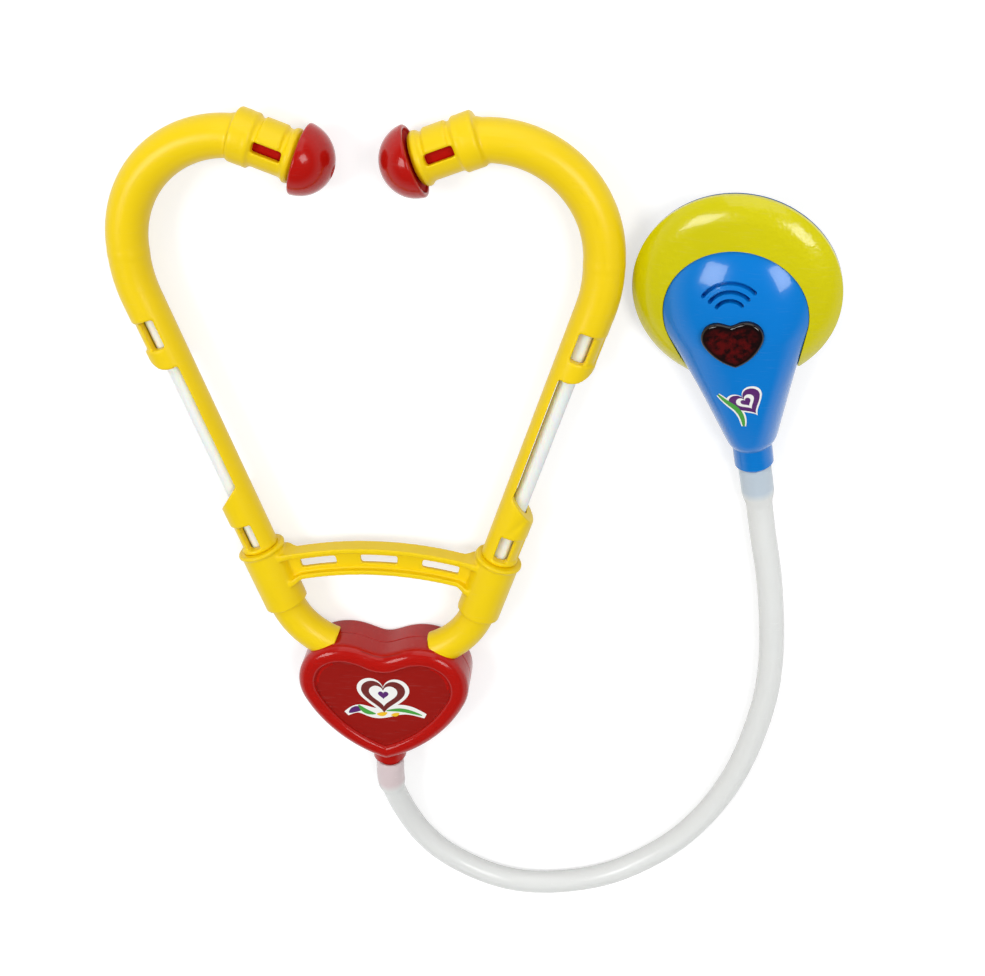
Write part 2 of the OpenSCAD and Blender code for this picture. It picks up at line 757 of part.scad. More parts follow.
// Battery well in the tail, and the door that closes it from below
cell_gap = 0.4;
door_t = 1.2;
door_lap = 0.7;
door_tab_r = 3.2;
ledge_z = -tail_depth + door_t;
ledge_t = 0.8;
well_w = cell_d + cell_gap;
well_y = -chest_screw_r - boss_d / 2 - door_lap - 2 * cell_gap - well_w / 2;
cell_ys = [well_y, well_y - well_w];
door_screw_y = well_y - 1.5 * well_w - door_lap - screw_head_d / 2;

module well_outline(grow) {
    for (y = cell_ys) translate([0, y]) circle(d = well_w + 2 * grow);
    translate([-well_w / 2 - grow, cell_ys[1]]) square([well_w + 2 * grow, well_w]);
}

module door_outline(grow) {
    well_outline(door_lap + grow);
    translate([0, door_screw_y]) circle(door_tab_r + grow);
    translate([-door_tab_r - grow, door_screw_y])
        square([2 * (door_tab_r + grow), cell_ys[1] - door_screw_y]);
}

diaphragm_hole_r = diaphragm_d / 2 + slide_gap;

module chest_base() {
    base_r = base_d / 2;
    rim = disc_d / 2 - seat_gap;
    edge = shell_t / 2;
    tail_start = chest_screw_r + boss_d / 2 + slide_gap;
    color(blue) at_chest() difference() {
        union() {
            rotate_extrude() polygon([[diaphragm_hole_r, -base_depth], [base_r - edge, -base_depth],
                [base_r, -base_depth + edge], [rim, -edge], [rim, 0], [rim - shell_t, 0],
                [base_r - edge, -base_depth + shell_t], [diaphragm_hole_r, -base_depth + shell_t]]);
            difference() {
                intersection() {
                    tail_solid();
                    translate([-disc_d / 2, -disc_d - tail_end, -base_depth])
                        cube([disc_d, disc_d + tail_end - tail_start, 2 * base_depth]);
                }
                translate([0, 0, ledge_z + ledge_t]) linear_extrude(base_depth)
                    polygon(flat(teardrop(cover_wall + tail_roll / 2, 0)));
            }
            translate([0, door_screw_y, ledge_z]) cylinder(d = boss_d, h = -ledge_z);
        }
        translate([0, 0, ledge_z + ledge_t]) linear_extrude(base_depth) intersection() {
            polygon(flat(teardrop(cover_wall + tail_roll / 2, 0)));
            translate([-disc_d / 2, -disc_d / 2]) square([disc_d, disc_d / 2 - tail_start]);
        }
        translate([0, 0, -base_depth - over]) linear_extrude(2 * base_depth) well_outline(0);
        translate([0, 0, -base_depth - over]) linear_extrude(base_depth + over + ledge_z)
            door_outline(seat_gap);
        translate([0, door_screw_y, ledge_z - over]) cylinder(d = pilot_d, h = base_depth);
        for (p = chest_screw_places) translate([p.x, p.y, -base_depth - over]) {
            cylinder(d = screw_d + 2 * seat_gap, h = base_depth + over);
            cylinder(d = screw_head_d + 2 * seat_gap, h = screw_head_t + over);
        }
        neck_passage();
    }
}

// Cover on the disc, with the speaker slots, the lens opening and its inner bosses
lens_y = -10.5;
lens_size_share = lens_w / (2 * (lobe_x + lobe_r));
lens_round = 0.9;
lens_lip = 1;
lens_lip_z = 0.66 * cover_h;
lens_lip_t = 0.8;
speaker_y = -0.5;
speaker_d = 16;
speaker_t = 2.4;
speaker_z = 3.4;
speaker_rib = 1;
slot_step = 2.3;
slot_half_a = 50;
slot_y = speaker_y - 1.4;
board_z = 1.4;
board_t = 1.2;
board_size = [21, 25];
board_y = -6.5;
board_boss_x = 8;
board_boss_y = -15.5;

function lens_ring(inset, z) =
    [for (p = heart_ring(inset / lens_size_share, z, lens_size_share)) p + [0, lens_y, 0]];

module chest_cover() {
    color(blue) at_chest() difference() {
        union() {
            cover_shell();
            intersection() {
                cover_solid();
                union() {
                    translate([0, speaker_y, speaker_z + speaker_t / 2]) difference() {
                        cylinder(r = speaker_d / 2 + slide_gap + speaker_rib, h = cover_h);
                        translate([0, 0, -over])
                            cylinder(r = speaker_d / 2 + slide_gap, h = cover_h / 2 + over);
                    }
                    for (x = [-1, 1]) translate([x * board_boss_x, board_boss_y, board_z + board_t])
                        cylinder(d = boss_d, h = cover_h);
                    translate([cover_screw.x, cover_screw.y, 0]) cylinder(d = boss_d, h = cover_h);
                }
            }
            translate([cover_screw.x, cover_screw.y, boss_foot]) cylinder(d = boss_d, h = over - boss_foot);
        }
        for (i = [0:2]) translate([0, slot_y, cover_h / 2])
            rotate([0, 0, 90 - slot_half_a]) rotate_extrude(angle = 2 * slot_half_a)
                translate([speaker_slot_r - i * slot_step - speaker_slot_w, 0])
                    square([speaker_slot_w, cover_h]);
        translate([0, 0, lens_lip_z]) linear_extrude(cover_h) polygon(flat(lens_ring(-seat_gap, 0)));
        translate([0, 0, cover_h / 2]) linear_extrude(lens_lip_z + lens_lip_t + seat_gap - cover_h / 2)
            polygon(flat(lens_ring(-lens_lip - seat_gap, 0)));
        for (x = [-1, 1]) translate([x * board_boss_x, board_boss_y, 0])
            cylinder(d = pilot_d, h = cover_h / 2);
        translate([cover_screw.x, cover_screw.y, boss_foot - over]) cylinder(d = pilot_d, h = cover_h / 2);
        neck_passage();
    }
}

// Lens: a heart with a round edge, and a lip under the cover
module heart_lens() {
    top = cover_h + lens_up;
    color(red) at_chest() skin(concat(
        [lens_ring(-lens_lip, lens_lip_z), lens_ring(-lens_lip, lens_lip_z + lens_lip_t),
            lens_ring(0, lens_lip_z + lens_lip_t)],
        [for (i = [0:round_steps]) let (a = i * 90 / round_steps)
            lens_ring(lens_round * (1 - cos(a)), top - lens_round * (1 - sin(a)))]));
}

// Cup that slides in the base and is pushed back by its spring
diaphragm_t = 1.6;
diaphragm_round = 1;
touch = 0.1;
diaphragm_z = -base_depth - diaphragm_travel - touch;

module diaphragm() {
    r = diaphragm_d / 2;
    lip_z = boss_foot + touch;
    color(lime) at_chest() rotate_extrude() polygon([[0, diaphragm_z], [r - diaphragm_round, diaphragm_z],
        [r, diaphragm_z + diaphragm_round], [r, lip_z], [r + diaphragm_lip, lip_z],
        [r + diaphragm_lip, lip_z + diaphragm_lip], [r - diaphragm_t, lip_z + diaphragm_lip],
        [r - diaphragm_t, diaphragm_z + diaphragm_t], [0, diaphragm_z + diaphragm_t]]);
}

spring_d = 8;
spring_wire = 0.8;
spring_turns = 4;
spring_ring_n = 10;
spring_sides = 6;

module diaphragm_spring() {
    foot = diaphragm_z + diaphragm_t + spring_wire / 2 + touch;
    head = board_z - spring_wire / 2 - touch;
    n = spring_turns * spring_ring_n;
    color(steel) at_chest() skin([for (i = [0:n])
        let (a = i * 360 / spring_ring_n, z = foot + (head - foot) * i / n)
        [for (k = [0:spring_sides - 1])
            let (b = -k * 360 / spring_sides, r = spring_d / 2 + spring_wire / 2 * cos(b))
            [r * cos(a), r * sin(a), z + spring_wire / 2 * sin(b)]]]);
}

module circuit_board() {
    color("#1d6b3a") at_chest() difference() {
        translate([-board_size.x / 2, board_y - board_size.y / 2, board_z])
            cube([board_size.x, board_size.y, board_t]);
        for (x = [-1, 1]) translate([x * board_boss_x, board_boss_y, board_z - over])
            cylinder(d = screw_d + 2 * seat_gap, h = board_t + 2 * over);
    }
}

module board_screws() {
    color(steel) at_chest() for (x = [-1, 1])
        translate([x * board_boss_x, board_boss_y, board_z - screw_head_t])
            screw(screw_head_t + board_t + screw_head_t);
}

module led() {
    led_d = 5;
    led_h = 1.6;
    color("#f0b8b0") at_chest() translate([0, lens_y - speaker_d / 4, board_z + board_t]) {
        cylinder(d = led_d, h = led_h);
        translate([0, 0, led_h]) intersection() {
            sphere(d = led_d);
            cylinder(d = 2 * led_d, h = led_d);
        }
    }
}

module speaker() {
    magnet_r = speaker_d / 4;
    magnet_t = speaker_z - board_z - board_t;
    color("#303236") at_chest() translate([0, speaker_y, speaker_z]) rotate_extrude() polygon([
        [0, -magnet_t], [magnet_r, -magnet_t], [magnet_r, 0], [speaker_d / 2, speaker_t / 2],
        [speaker_d / 2, speaker_t], [speaker_d / 2 - over, speaker_t], [magnet_r, speaker_t / 2],
        [0, speaker_t / 2]]);
}

module button_cells() {
    color(steel) at_chest() for (y = cell_ys) translate([0, y, ledge_z + touch])
        cylinder(d = cell_d, h = cell_t);
}

contact_t = 0.4;

module battery_contact() {
    color(steel) at_chest() translate([-cell_d / 4, cell_ys[1] - cell_d / 4, ledge_z + cell_t + 2 * touch])
        cube([cell_d / 2, well_w + cell_d / 2, contact_t]);
}

door_head_t = 0.6 * door_t;

module battery_door() {
    color(blue) at_chest() difference() {
        translate([0, 0, -tail_depth]) linear_extrude(door_t) door_outline(0);
        translate([0, door_screw_y, -tail_depth - over]) {
            cylinder(d = screw_d + 2 * seat_gap, h = tail_depth);
            cylinder(d = screw_head_d + 2 * seat_gap, h = door_head_t + over);
        }
    }
}

module door_screw() {
    color(steel) at_chest() translate([0, door_screw_y, -tail_depth]) {
        cylinder(d = screw_head_d, h = door_head_t);
        cylinder(d = pilot_d - 2 * run_gap, h = tail_depth - door_head_t);
    }
}

module chest_screws() {
    color(steel) at_chest() for (p = chest_screw_places)
        translate([p.x, p.y, -base_depth]) screw(2 * shell_t + screw_head_t);
}

// Blue spigot: collar in the tail's end, and the barrel in the hose
module chest_spigot() {
    collar_round = 1.2;
    color(blue) at_chest() translate([0, 0, neck_z]) rotate([90, 0, 0]) rotate_extrude() polygon([
        [spigot_bore / 2, neck_in], [neck_d / 2, neck_in], [neck_d / 2, neck_end - collar_round],
        [neck_d / 2 - collar_round, neck_end], [spigot_d / 2, neck_end],
        [spigot_d / 2, neck_end + spigot_len], [spigot_bore / 2, neck_end + spigot_len]]);
}

module left_arm() mirror([1, 0, 0]) arm();
module right_arm() arm();
module left_arm_tube() mirror([1, 0, 0]) arm_tube();
module right_arm_tube() arm_tube();
module left_ear_tip() mirror([1, 0, 0]) ear_tip();
module right_ear_tip() ear_tip();

left_ear_tip();
right_ear_tip();
left_arm();
right_arm();
left_arm_tube();
right_arm_tube();
yoke();
heart_back_shell();
heart_front_shell();
heart_screws();
heart_spigot();
hose();
chest_spigot();
chest_base();
chest_disc();
chest_cover();
heart_lens();
diaphragm();
diaphragm_spring();
circuit_board();
board_screws();
led();
speaker();
button_cells();
battery_contact();
battery_door();
door_screw();
chest_screws();
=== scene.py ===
"""Looks of a toy stethoscope that lies on a white table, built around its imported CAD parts."""

import bmesh
import bpy
import numpy as np
from mathutils import Matrix, Vector


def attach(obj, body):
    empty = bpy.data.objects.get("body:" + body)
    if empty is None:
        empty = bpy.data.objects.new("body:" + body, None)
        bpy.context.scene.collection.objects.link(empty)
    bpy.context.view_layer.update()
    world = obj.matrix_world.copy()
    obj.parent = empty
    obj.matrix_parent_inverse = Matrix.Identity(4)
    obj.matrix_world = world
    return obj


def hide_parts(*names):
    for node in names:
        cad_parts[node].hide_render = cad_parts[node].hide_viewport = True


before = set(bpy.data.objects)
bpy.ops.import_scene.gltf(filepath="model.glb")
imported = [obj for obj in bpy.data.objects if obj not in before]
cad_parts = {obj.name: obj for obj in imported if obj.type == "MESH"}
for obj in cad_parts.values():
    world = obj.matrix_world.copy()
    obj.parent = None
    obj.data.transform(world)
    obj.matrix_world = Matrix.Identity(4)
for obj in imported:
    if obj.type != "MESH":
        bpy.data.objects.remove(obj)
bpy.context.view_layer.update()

# Camera
# The photograph looks down on the table from beyond the ear tips. The place and the lens
# come from fitting the headset's outline, with the picture's middle as the lens's middle.
CAMERA_AT = (0.06469, 0.24821, 0.31614)
CAMERA_RIGHT = (0.9959, -0.0006, -0.0907)
CAMERA_UP = (-0.0424, 0.8813, -0.4707)
CAMERA_BACK = (0.0802, 0.4726, 0.8776)
LENS_MM = 41.3
SENSOR_MM = 36.0
CLIP_START = 0.01

scene = bpy.context.scene


def placed(name, data):
    """Object at the origin for a mesh, a lamp or a camera, linked to the scene."""
    made = bpy.data.objects.new(name, data)
    scene.collection.objects.link(made)
    return made


lens = bpy.data.cameras.new("photo_camera")
lens.sensor_fit = "HORIZONTAL"
lens.sensor_width = SENSOR_MM
lens.lens = LENS_MM
lens.clip_start = CLIP_START
camera = placed("photo_camera", lens)
axes = Matrix((CAMERA_RIGHT, CAMERA_UP, CAMERA_BACK)).transposed()
camera.matrix_world = Matrix.Translation(CAMERA_AT) @ axes.to_4x4()
scene.camera = camera
scene.view_settings.view_transform = "Standard"

# Hose
# A plain soft vinyl tube, milky and slightly see-through, pushed over a red spigot under the
# heart and over a blue one at the chest piece, so both ends are wider and show their colour.
MM = 0.001
HOSE_D = 8.0
HOSE_WALL = 1.0
HOSE_STRETCH = 0.9
HOSE_GRIP = 10.0
GRIP_TAPER = 5.0
HOSE_LIP = 0.35
HOSE_LIP_LEN = 0.6
TINT_PAST = 1.5
TINT_FADE = 3.0
HOSE_RINGS = 420
HOSE_SIDES = 40
HOSE_ROUTE = [
    (0, -28, 10), (0, -38, 10), (1.2, -46, 8.4), (4, -57, 5.6), (9, -68, 4.2), (16.5, -77, 4),
    (25.5, -83.5, 4), (36, -88.5, 4), (47.5, -91, 4), (59, -90.5, 4), (70, -88, 4), (81, -83.5, 4),
    (91.5, -76.5, 4), (101.5, -67.5, 4), (109.5, -57.5, 4), (116, -46.5, 4), (121.2, -34.5, 4),
    (125, -22, 4), (127.6, -9, 4), (129.2, 4, 4), (129.4, 17, 4), (128.4, 30, 4), (126.6, 43, 4),
    (124.4, 55, 4), (121.8, 66, 4.1), (117.905, 83.85, 4.9), (115.738, 93.507, 6.331)]
MERGE_M = 1e-7
DRIFT_SCALE = 45.0
SCUFF_SCALE = 160.0
RIPPLE_SCALE = 620.0
GRAIN_SCALE = 2600.0
SCUFF_PALE = (0.75, 0.75, 0.72, 1)
GRAIN_DEPTH = 0.0002
RIPPLE_DEPTH = 0.0006


def linear(red, green, blue):
    """Scene-linear colour, with full alpha, of a colour given in 0 to 255 as a screen shows it."""
    c = np.array((red, green, blue)) / 255.0
    c = np.where(c <= 0.04045, c / 12.92, ((c + 0.055) / 1.055) ** 2.4)
    return (*c.tolist(), 1.0)


def run_along(points):
    """Distance run along a path at each of its points."""
    return np.concatenate(([0.0], np.cumsum(np.linalg.norm(np.diff(points, axis=0), axis=1))))


def smooth_path(points, count):
    """Natural cubic spline through the points over their chord length, at count even steps."""
    p = np.array(points, float)
    t = run_along(p)
    h = np.diff(t)
    n = len(p)
    a = np.eye(n)
    rows = np.arange(1, n - 1)
    a[rows, rows - 1] = h[:-1]
    a[rows, rows] = 2 * (h[:-1] + h[1:])
    a[rows, rows + 1] = h[1:]
    b = np.zeros((n, 3))
    slope = np.diff(p, axis=0) / h[:, None]
    b[1:-1] = 6 * np.diff(slope, axis=0)
    m = np.linalg.solve(a, b)
    s = np.linspace(0, t[-1], count)
    k = np.clip(np.searchsorted(t, s) - 1, 0, n - 2)
    d = (s - t[k])[:, None]
    g = h[k][:, None]
    first = slope[k] - g * (2 * m[k] + m[k + 1]) / 6
    return p[k] + d * (first + d * (m[k] / 2 + d * (m[k + 1] - m[k]) / (6 * g)))


def eased(share):
    """Smooth step of a share, which is held between 0 and 1."""
    t = np.clip(share, 0, 1)
    return t * t * (3 - 2 * t)


def grid_faces(rows, columns, wrap_rows=False, wrap_columns=True):
    """Quads over a grid of points, which closes on itself along its rows, its columns or both."""
    j = np.arange(rows if wrap_rows else rows - 1)[:, None]
    i = np.arange(columns if wrap_columns else columns - 1)[None, :]
    here = j * columns
    above = (j + 1) % rows * columns
    beside = (i + 1) % columns
    return np.stack((here + i, here + beside, above + beside, above + i), -1).reshape(-1, 4)


def mesh_from(name, points, faces):
    """Mesh of points in millimetres, and of faces in a list or in an array of quads."""
    mesh = bpy.data.meshes.new(name)
    points = np.asarray(points, float).reshape(-1, 3) * MM
    mesh.from_pydata(points.tolist(), [], faces if isinstance(faces, list) else faces.tolist())
    return mesh


def piece_from(name, points, faces, material, sharp=0.6):
    """Mesh object at the origin from points in millimetres, with its doubles merged, its faces
    turned outwards and its edges kept crisp past the angle sharp."""
    mesh = mesh_from(name, points, faces)
    bm = bmesh.new()
    bm.from_mesh(mesh)
    bmesh.ops.remove_doubles(bm, verts=bm.verts, dist=MERGE_M)
    bmesh.ops.recalc_face_normals(bm, faces=bm.faces)
    bm.to_mesh(mesh)
    bm.free()
    mesh.shade_smooth()
    mesh.set_sharp_from_angle(angle=sharp)
    mesh.materials.append(material)
    return placed(name, mesh)


def node(tree, kind, links=(), **settings):
    """Shader node with its settings, and its input sockets linked or set from name, value pairs."""
    made = tree.nodes.new(kind)
    for key, value in settings.items():
        setattr(made, key, value)
    for key, value in links:
        if isinstance(value, bpy.types.NodeSocket):
            tree.links.new(value, made.inputs[key])
        else:
            made.inputs[key].default_value = value
    return made


def noise(tree, vector, scale, detail):
    """Noise over a vector, at a scale per metre."""
    links = [("Vector", vector), ("Scale", scale), ("Detail", detail)]
    return node(tree, "ShaderNodeTexNoise", links).outputs["Fac"]


def reckon(tree, operation, first, second):
    """Result of a sum on two numbers or sockets."""
    return node(tree, "ShaderNodeMath", [(0, first), (1, second)], operation=operation).outputs[0]


def ranged(tree, value, low, high, to_low=0.0, to_high=1.0):
    """Value carried over from the range low to high to another one, and held at its ends."""
    links = [("Value", value), ("From Min", low), ("From Max", high), ("To Min", to_low), ("To Max", to_high)]
    return node(tree, "ShaderNodeMapRange", links).outputs["Result"]


def mixed(tree, share, first, second):
    """Colour that goes from the first to the second by a share."""
    links = [(0, share), (6, first), (7, second)]
    return node(tree, "ShaderNodeMix", links, data_type="RGBA").outputs[2]


def shader_group(name, inputs, outputs):
    """Empty shader node group with sockets given as name to kind and start value."""
    group = bpy.data.node_groups.new(name, "ShaderNodeTree")
    for label, (kind, value) in inputs.items():
        socket = group.interface.new_socket(name=label, in_out="INPUT", socket_type=kind)
        if value is not None:
            socket.default_value = value
    for label, kind in outputs.items():
        group.interface.new_socket(name=label, in_out="OUTPUT", socket_type=kind)
    return group, group.nodes.new("NodeGroupInput"), group.nodes.new("NodeGroupOutput")


def moulded_finish():
    """Group for moulded plastic, from noise over the piece's own coordinates: broad drifts of
    tone, thin pale scuffs, shallow ripples in patches, and fine grain."""
    number = "NodeSocketFloat"
    group, given, out = shader_group(
        "moulded_finish",
        {"Vector": ("NodeSocketVector", None), "Color": ("NodeSocketColor", (0.8, 0.8, 0.8, 1)),
         "Drift": (number, 0.06), "Roughness": (number, 0.3), "Scuff": (number, 0.1),
         "Grain": (number, 0.05), "Ripple": (number, 0.0)},
        {"Color": "NodeSocketColor", "Roughness": number, "Normal": "NodeSocketVector"})
    take = given.outputs
    vector = take["Vector"]
    broad = noise(group, vector, DRIFT_SCALE, 3.0)
    toned = reckon(group, "MULTIPLY", reckon(group, "SUBTRACT", broad, 0.5), take["Drift"])
    value = reckon(group, "ADD", toned, 1.0)
    hue = node(group, "ShaderNodeHueSaturation", [("Value", value), ("Color", take["Color"])])
    lengthen = node(group, "ShaderNodeMapping",
                    [("Vector", vector), ("Rotation", (0.2, 0.4, 0.7)), ("Scale", (1.0, 14.0, 3.0))])
    thin = noise(group, lengthen.outputs["Vector"], SCUFF_SCALE, 4.0)
    scuffed = reckon(group, "MULTIPLY", ranged(group, thin, 0.58, 0.72), take["Scuff"])
    pale = mixed(group, scuffed, hue.outputs["Color"], SCUFF_PALE)
    rough = reckon(group, "ADD", scuffed, take["Roughness"])
    fine = noise(group, vector, GRAIN_SCALE, 2.0)
    grained = node(group, "ShaderNodeBump",
                   [("Strength", take["Grain"]), ("Distance", GRAIN_DEPTH), ("Height", fine)])
    wave = noise(group, vector, RIPPLE_SCALE, 1.0)
    dents = reckon(group, "MULTIPLY", wave, ranged(group, broad, 0.46, 0.6))
    rippled = node(group, "ShaderNodeBump",
                   [("Strength", take["Ripple"]), ("Distance", RIPPLE_DEPTH), ("Height", dents),
                    ("Normal", grained.outputs["Normal"])])
    for key, socket in (("Color", pale), ("Roughness", rough), ("Normal", rippled.outputs["Normal"])):
        group.links.new(socket, out.inputs[key])
    return group


MOULDED = moulded_finish()


def plain_material(name):
    """New material with its tree, its Principled shader and the Object coordinates."""
    material = bpy.data.materials.new(name)
    material.use_nodes = True
    tree = material.node_tree
    place = tree.nodes.new("ShaderNodeTexCoord").outputs["Object"]
    return material, tree, tree.nodes["Principled BSDF"], place


def give_finish(tree, shader, place, colour, roughness, drift, scuff, grain, ripple=0.0):
    """Puts the moulded finish on a shader, from a colour or from a socket that gives one."""
    links = [("Vector", place), ("Color", colour), ("Roughness", roughness), ("Drift", drift),
             ("Scuff", scuff), ("Grain", grain), ("Ripple", ripple)]
    finish = node(tree, "ShaderNodeGroup", links, node_tree=MOULDED)
    for given, taken in (("Color", "Base Color"), ("Roughness", "Roughness"), ("Normal", "Normal")):
        tree.links.new(finish.outputs[given], shader.inputs[taken])


def moulding(name, colour, roughness, drift=0.06, scuff=0.08, grain=0.05, ripple=0.0, **sockets):
    """Moulded plastic of one colour, with extra Principled sockets set by their names."""
    material, tree, shader, place = plain_material(name)
    give_finish(tree, shader, place, colour, roughness, drift, scuff, grain, ripple)
    shader.inputs["Specular IOR Level"].default_value = 0.4
    for key, value in sockets.items():
        shader.inputs[key.replace("_", " ")].default_value = value
    return material


def hose_material():
    """Milky vinyl whose first and last stretch take the colour of the spigot inside, read from
    an attribute that is 1 at the heart, 0 along the hose and -1 at the chest piece."""
    material, tree, shader, place = plain_material("hose_vinyl")
    end = node(tree, "ShaderNodeAttribute", attribute_name="spigot").outputs["Fac"]
    pink = mixed(tree, end, linear(234, 236, 233), linear(222, 204, 205))
    both = mixed(tree, reckon(tree, "MULTIPLY", end, -1.0), pink, linear(196, 210, 222))
    give_finish(tree, shader, place, both, 0.24, drift=0.05, scuff=0.05, grain=0.04)
    shader.inputs["Subsurface Weight"].default_value = 0.35
    shader.inputs["Subsurface Radius"].default_value = (1.0, 1.0, 0.95)
    shader.inputs["Subsurface Scale"].default_value = 0.003
    return material


def tube_rings(path, radius, sides):
    """Rings of a tube about a path: circles of the radius at each point, square to the path and
    upright, where the path never stands on end."""
    along = np.gradient(path, axis=0)
    along /= np.linalg.norm(along, axis=1)[:, None]
    side = np.cross(along, (0, 0, 1.0))
    side /= np.linalg.norm(side, axis=1)[:, None]
    up = np.cross(side, along)
    a = np.linspace(0, 2 * np.pi, sides, endpoint=False)[None, :, None]
    round_it = np.cos(a) * side[:, None, :] + np.sin(a) * up[:, None, :]
    return path[:, None, :] + np.asarray(radius)[:, None, None] * round_it


hose_path = smooth_path(HOSE_ROUTE, HOSE_RINGS)
run = run_along(hose_path)
hose_length = run[-1]
to_end = np.minimum(run, hose_length - run)
bore = HOSE_D / 2 - HOSE_WALL + HOSE_STRETCH * eased(1 - (to_end - HOSE_GRIP) / GRIP_TAPER)
lip = HOSE_LIP * np.clip(1 - to_end / HOSE_LIP_LEN, 0, 1) ** 2
outer = tube_rings(hose_path, bore + HOSE_WALL - lip, HOSE_SIDES)
inner = tube_rings(hose_path, bore, HOSE_SIDES)[::-1]
hose = piece_from("hose_tube", np.concatenate((outer, inner)),
                  grid_faces(2 * HOSE_RINGS, HOSE_SIDES, wrap_rows=True), hose_material(), sharp=1.0)
tint = np.clip((HOSE_GRIP + TINT_PAST - to_end) / TINT_FADE, 0, 1)
tint = np.where(run < hose_length / 2, tint, -tint)
tint = np.concatenate((tint, tint[::-1]))
spigot = hose.data.attributes.new("spigot", "FLOAT", "POINT")
spigot.data.foreach_set("value", np.repeat(tint, HOSE_SIDES).astype(np.float32))
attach(hose, "hub")
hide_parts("hose")

# Ear tips
# Red domes on stems, dished below, each in one shot of glossy plastic. They snap into the ends
# of the arms and turn there. The sound comes out through a small hole in the dome.
SIDES = (("left", -1), ("right", 1))
EAR_AT = (30.2433, 187.451, 10.0)
EAR_AXIS = (-0.939693, -0.34202, 0.0)
EAR_SIDES = 96
DOME_Z = 15.15
DOME_R = 10.0
DOME_WALL = 1.5
DOME_DISH = 0.5
STEM_R = 4.0
STEM_Z = 1.85
STEM_FILLET = 0.5
SOUND_R = 1.5
MOUTH_W = 0.5
MOUTH_LIP = 0.12
EDGE_EASE = 0.3
RIM_ROW = 35
RED = linear(178, 17, 9)


def lathe(profile, origin, axis, count):
    """Points of a profile of (radius, height) pairs turned about an axis through an origin."""
    axis = np.array(axis, float) / np.linalg.norm(axis)
    across = np.cross(axis, (0.0, 0.0, 1.0))
    across /= np.linalg.norm(across)
    third = np.cross(axis, across)
    a = np.linspace(0, 2 * np.pi, count, endpoint=False)
    round_it = np.cos(a)[:, None] * across + np.sin(a)[:, None] * third
    r, h = np.array(profile, float).T
    return np.asarray(origin) + h[:, None, None] * axis + r[:, None, None] * round_it[None]


def arc(centre, radius, start, end, steps):
    """Points of an arc in a flat plane, with angles in degrees."""
    a = np.radians(np.linspace(start, end, steps))
    return np.stack((centre[0] + radius * np.cos(a), centre[1] + radius * np.sin(a)), -1)


def ear_frame(sign):
    """Foot and direction of an ear tip's axis, on the left for -1 and on the right for 1."""
    mirror = np.array((sign, 1.0, 1.0))
    return mirror * EAR_AT, mirror * EAR_AXIS


red_plastic = moulding("red_gloss", RED, 0.2, drift=0.1, scuff=0.012, grain=0.02,
                       Coat_Weight=0.25, Coat_Roughness=0.04, Specular_IOR_Level=0.18)
red_under = moulding("red_underside", RED, 0.6, drift=0.1, scuff=0.02, grain=0.1, Specular_IOR_Level=0.05)
rim_r = DOME_WALL / 2
rim_a = np.degrees(np.arcsin(rim_r / DOME_R))
mouth_a = np.degrees(np.arccos((SOUND_R + MOUTH_W) / DOME_R))
inner_r = DOME_R - DOME_WALL
dome_top = DOME_Z + DOME_R
dish_z = DOME_Z + DOME_DISH
ear_profile = np.concatenate((
    [(SOUND_R, STEM_Z), (SOUND_R, dome_top - 2 * MOUTH_W), (SOUND_R + MOUTH_LIP, dome_top - MOUTH_W)],
    arc((0, DOME_Z), DOME_R, mouth_a, rim_a, 28),
    arc((DOME_R - rim_r, DOME_Z + rim_r), rim_r, 0, -180, 10)[1:],
    [(inner_r, dish_z - EDGE_EASE), (inner_r - EDGE_EASE, dish_z), (STEM_R + STEM_FILLET, dish_z)],
    [(STEM_R, dish_z - STEM_FILLET), (STEM_R, STEM_Z + EDGE_EASE), (STEM_R - EDGE_EASE, STEM_Z)]))
ear_faces = grid_faces(len(ear_profile), EAR_SIDES, wrap_rows=True)
below_rim = np.repeat(np.arange(len(ear_profile)) > RIM_ROW, EAR_SIDES).astype(np.int32)
for side, sign in SIDES:
    grid = lathe(ear_profile, *ear_frame(sign), EAR_SIDES)
    ear = piece_from(side + "_ear_dome", grid, ear_faces, red_plastic)
    ear.data.materials.append(red_under)
    ear.data.polygons.foreach_set("material_index", below_rim)
    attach(ear, side + "_ear_body")
    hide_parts(side + "_ear_tip")

# Arms
# Each ear tube is one yellow moulding: a barrel at each end, a springy strip between them, and
# a cage for the ear tip. Its edges are a little round, as they leave the mould.
YELLOW = linear(240, 206, 2)
ARM_VOXEL = 0.42
SMOOTH_STEPS = (0.55, -0.57)
SMOOTH_PASSES = 6
CAGE_LEN = 15.0
CAGE_BORE_R = STEM_R + 1.0
RING_R = 7.6
RING_T = 3.4
COLLAR_BACK = 3.4
COLLAR_IN = 0.5
COLLAR_ROUND = 0.9
PLUG_R = 5.85
PLUG_BACK = 2.0
PLUG_SIDES = 64
CAGE_PANEL_R = 7.4
CAGE_PANEL_GAP = 0.9
CAGE_PANEL_TURN = (15.0, 102.0)


def upright(outline, low, high):
    """Upright block on a flat outline between two heights: its points and faces."""
    n = len(outline)
    points = np.concatenate([np.column_stack((outline, np.full(n, z))) for z in (low, high)])
    return points, grid_faces(2, n).tolist() + [list(range(n))[::-1], list(range(n, 2 * n))]


def applied(piece):
    """New mesh of a piece with its modifiers applied."""
    return bpy.data.meshes.new_from_object(piece.evaluated_get(bpy.context.evaluated_depsgraph_get()))


def points_of(mesh):
    """Points of a mesh in metres, one in each row."""
    points = np.empty(len(mesh.vertices) * 3)
    mesh.vertices.foreach_get("co", points)
    return points.reshape(-1, 3)


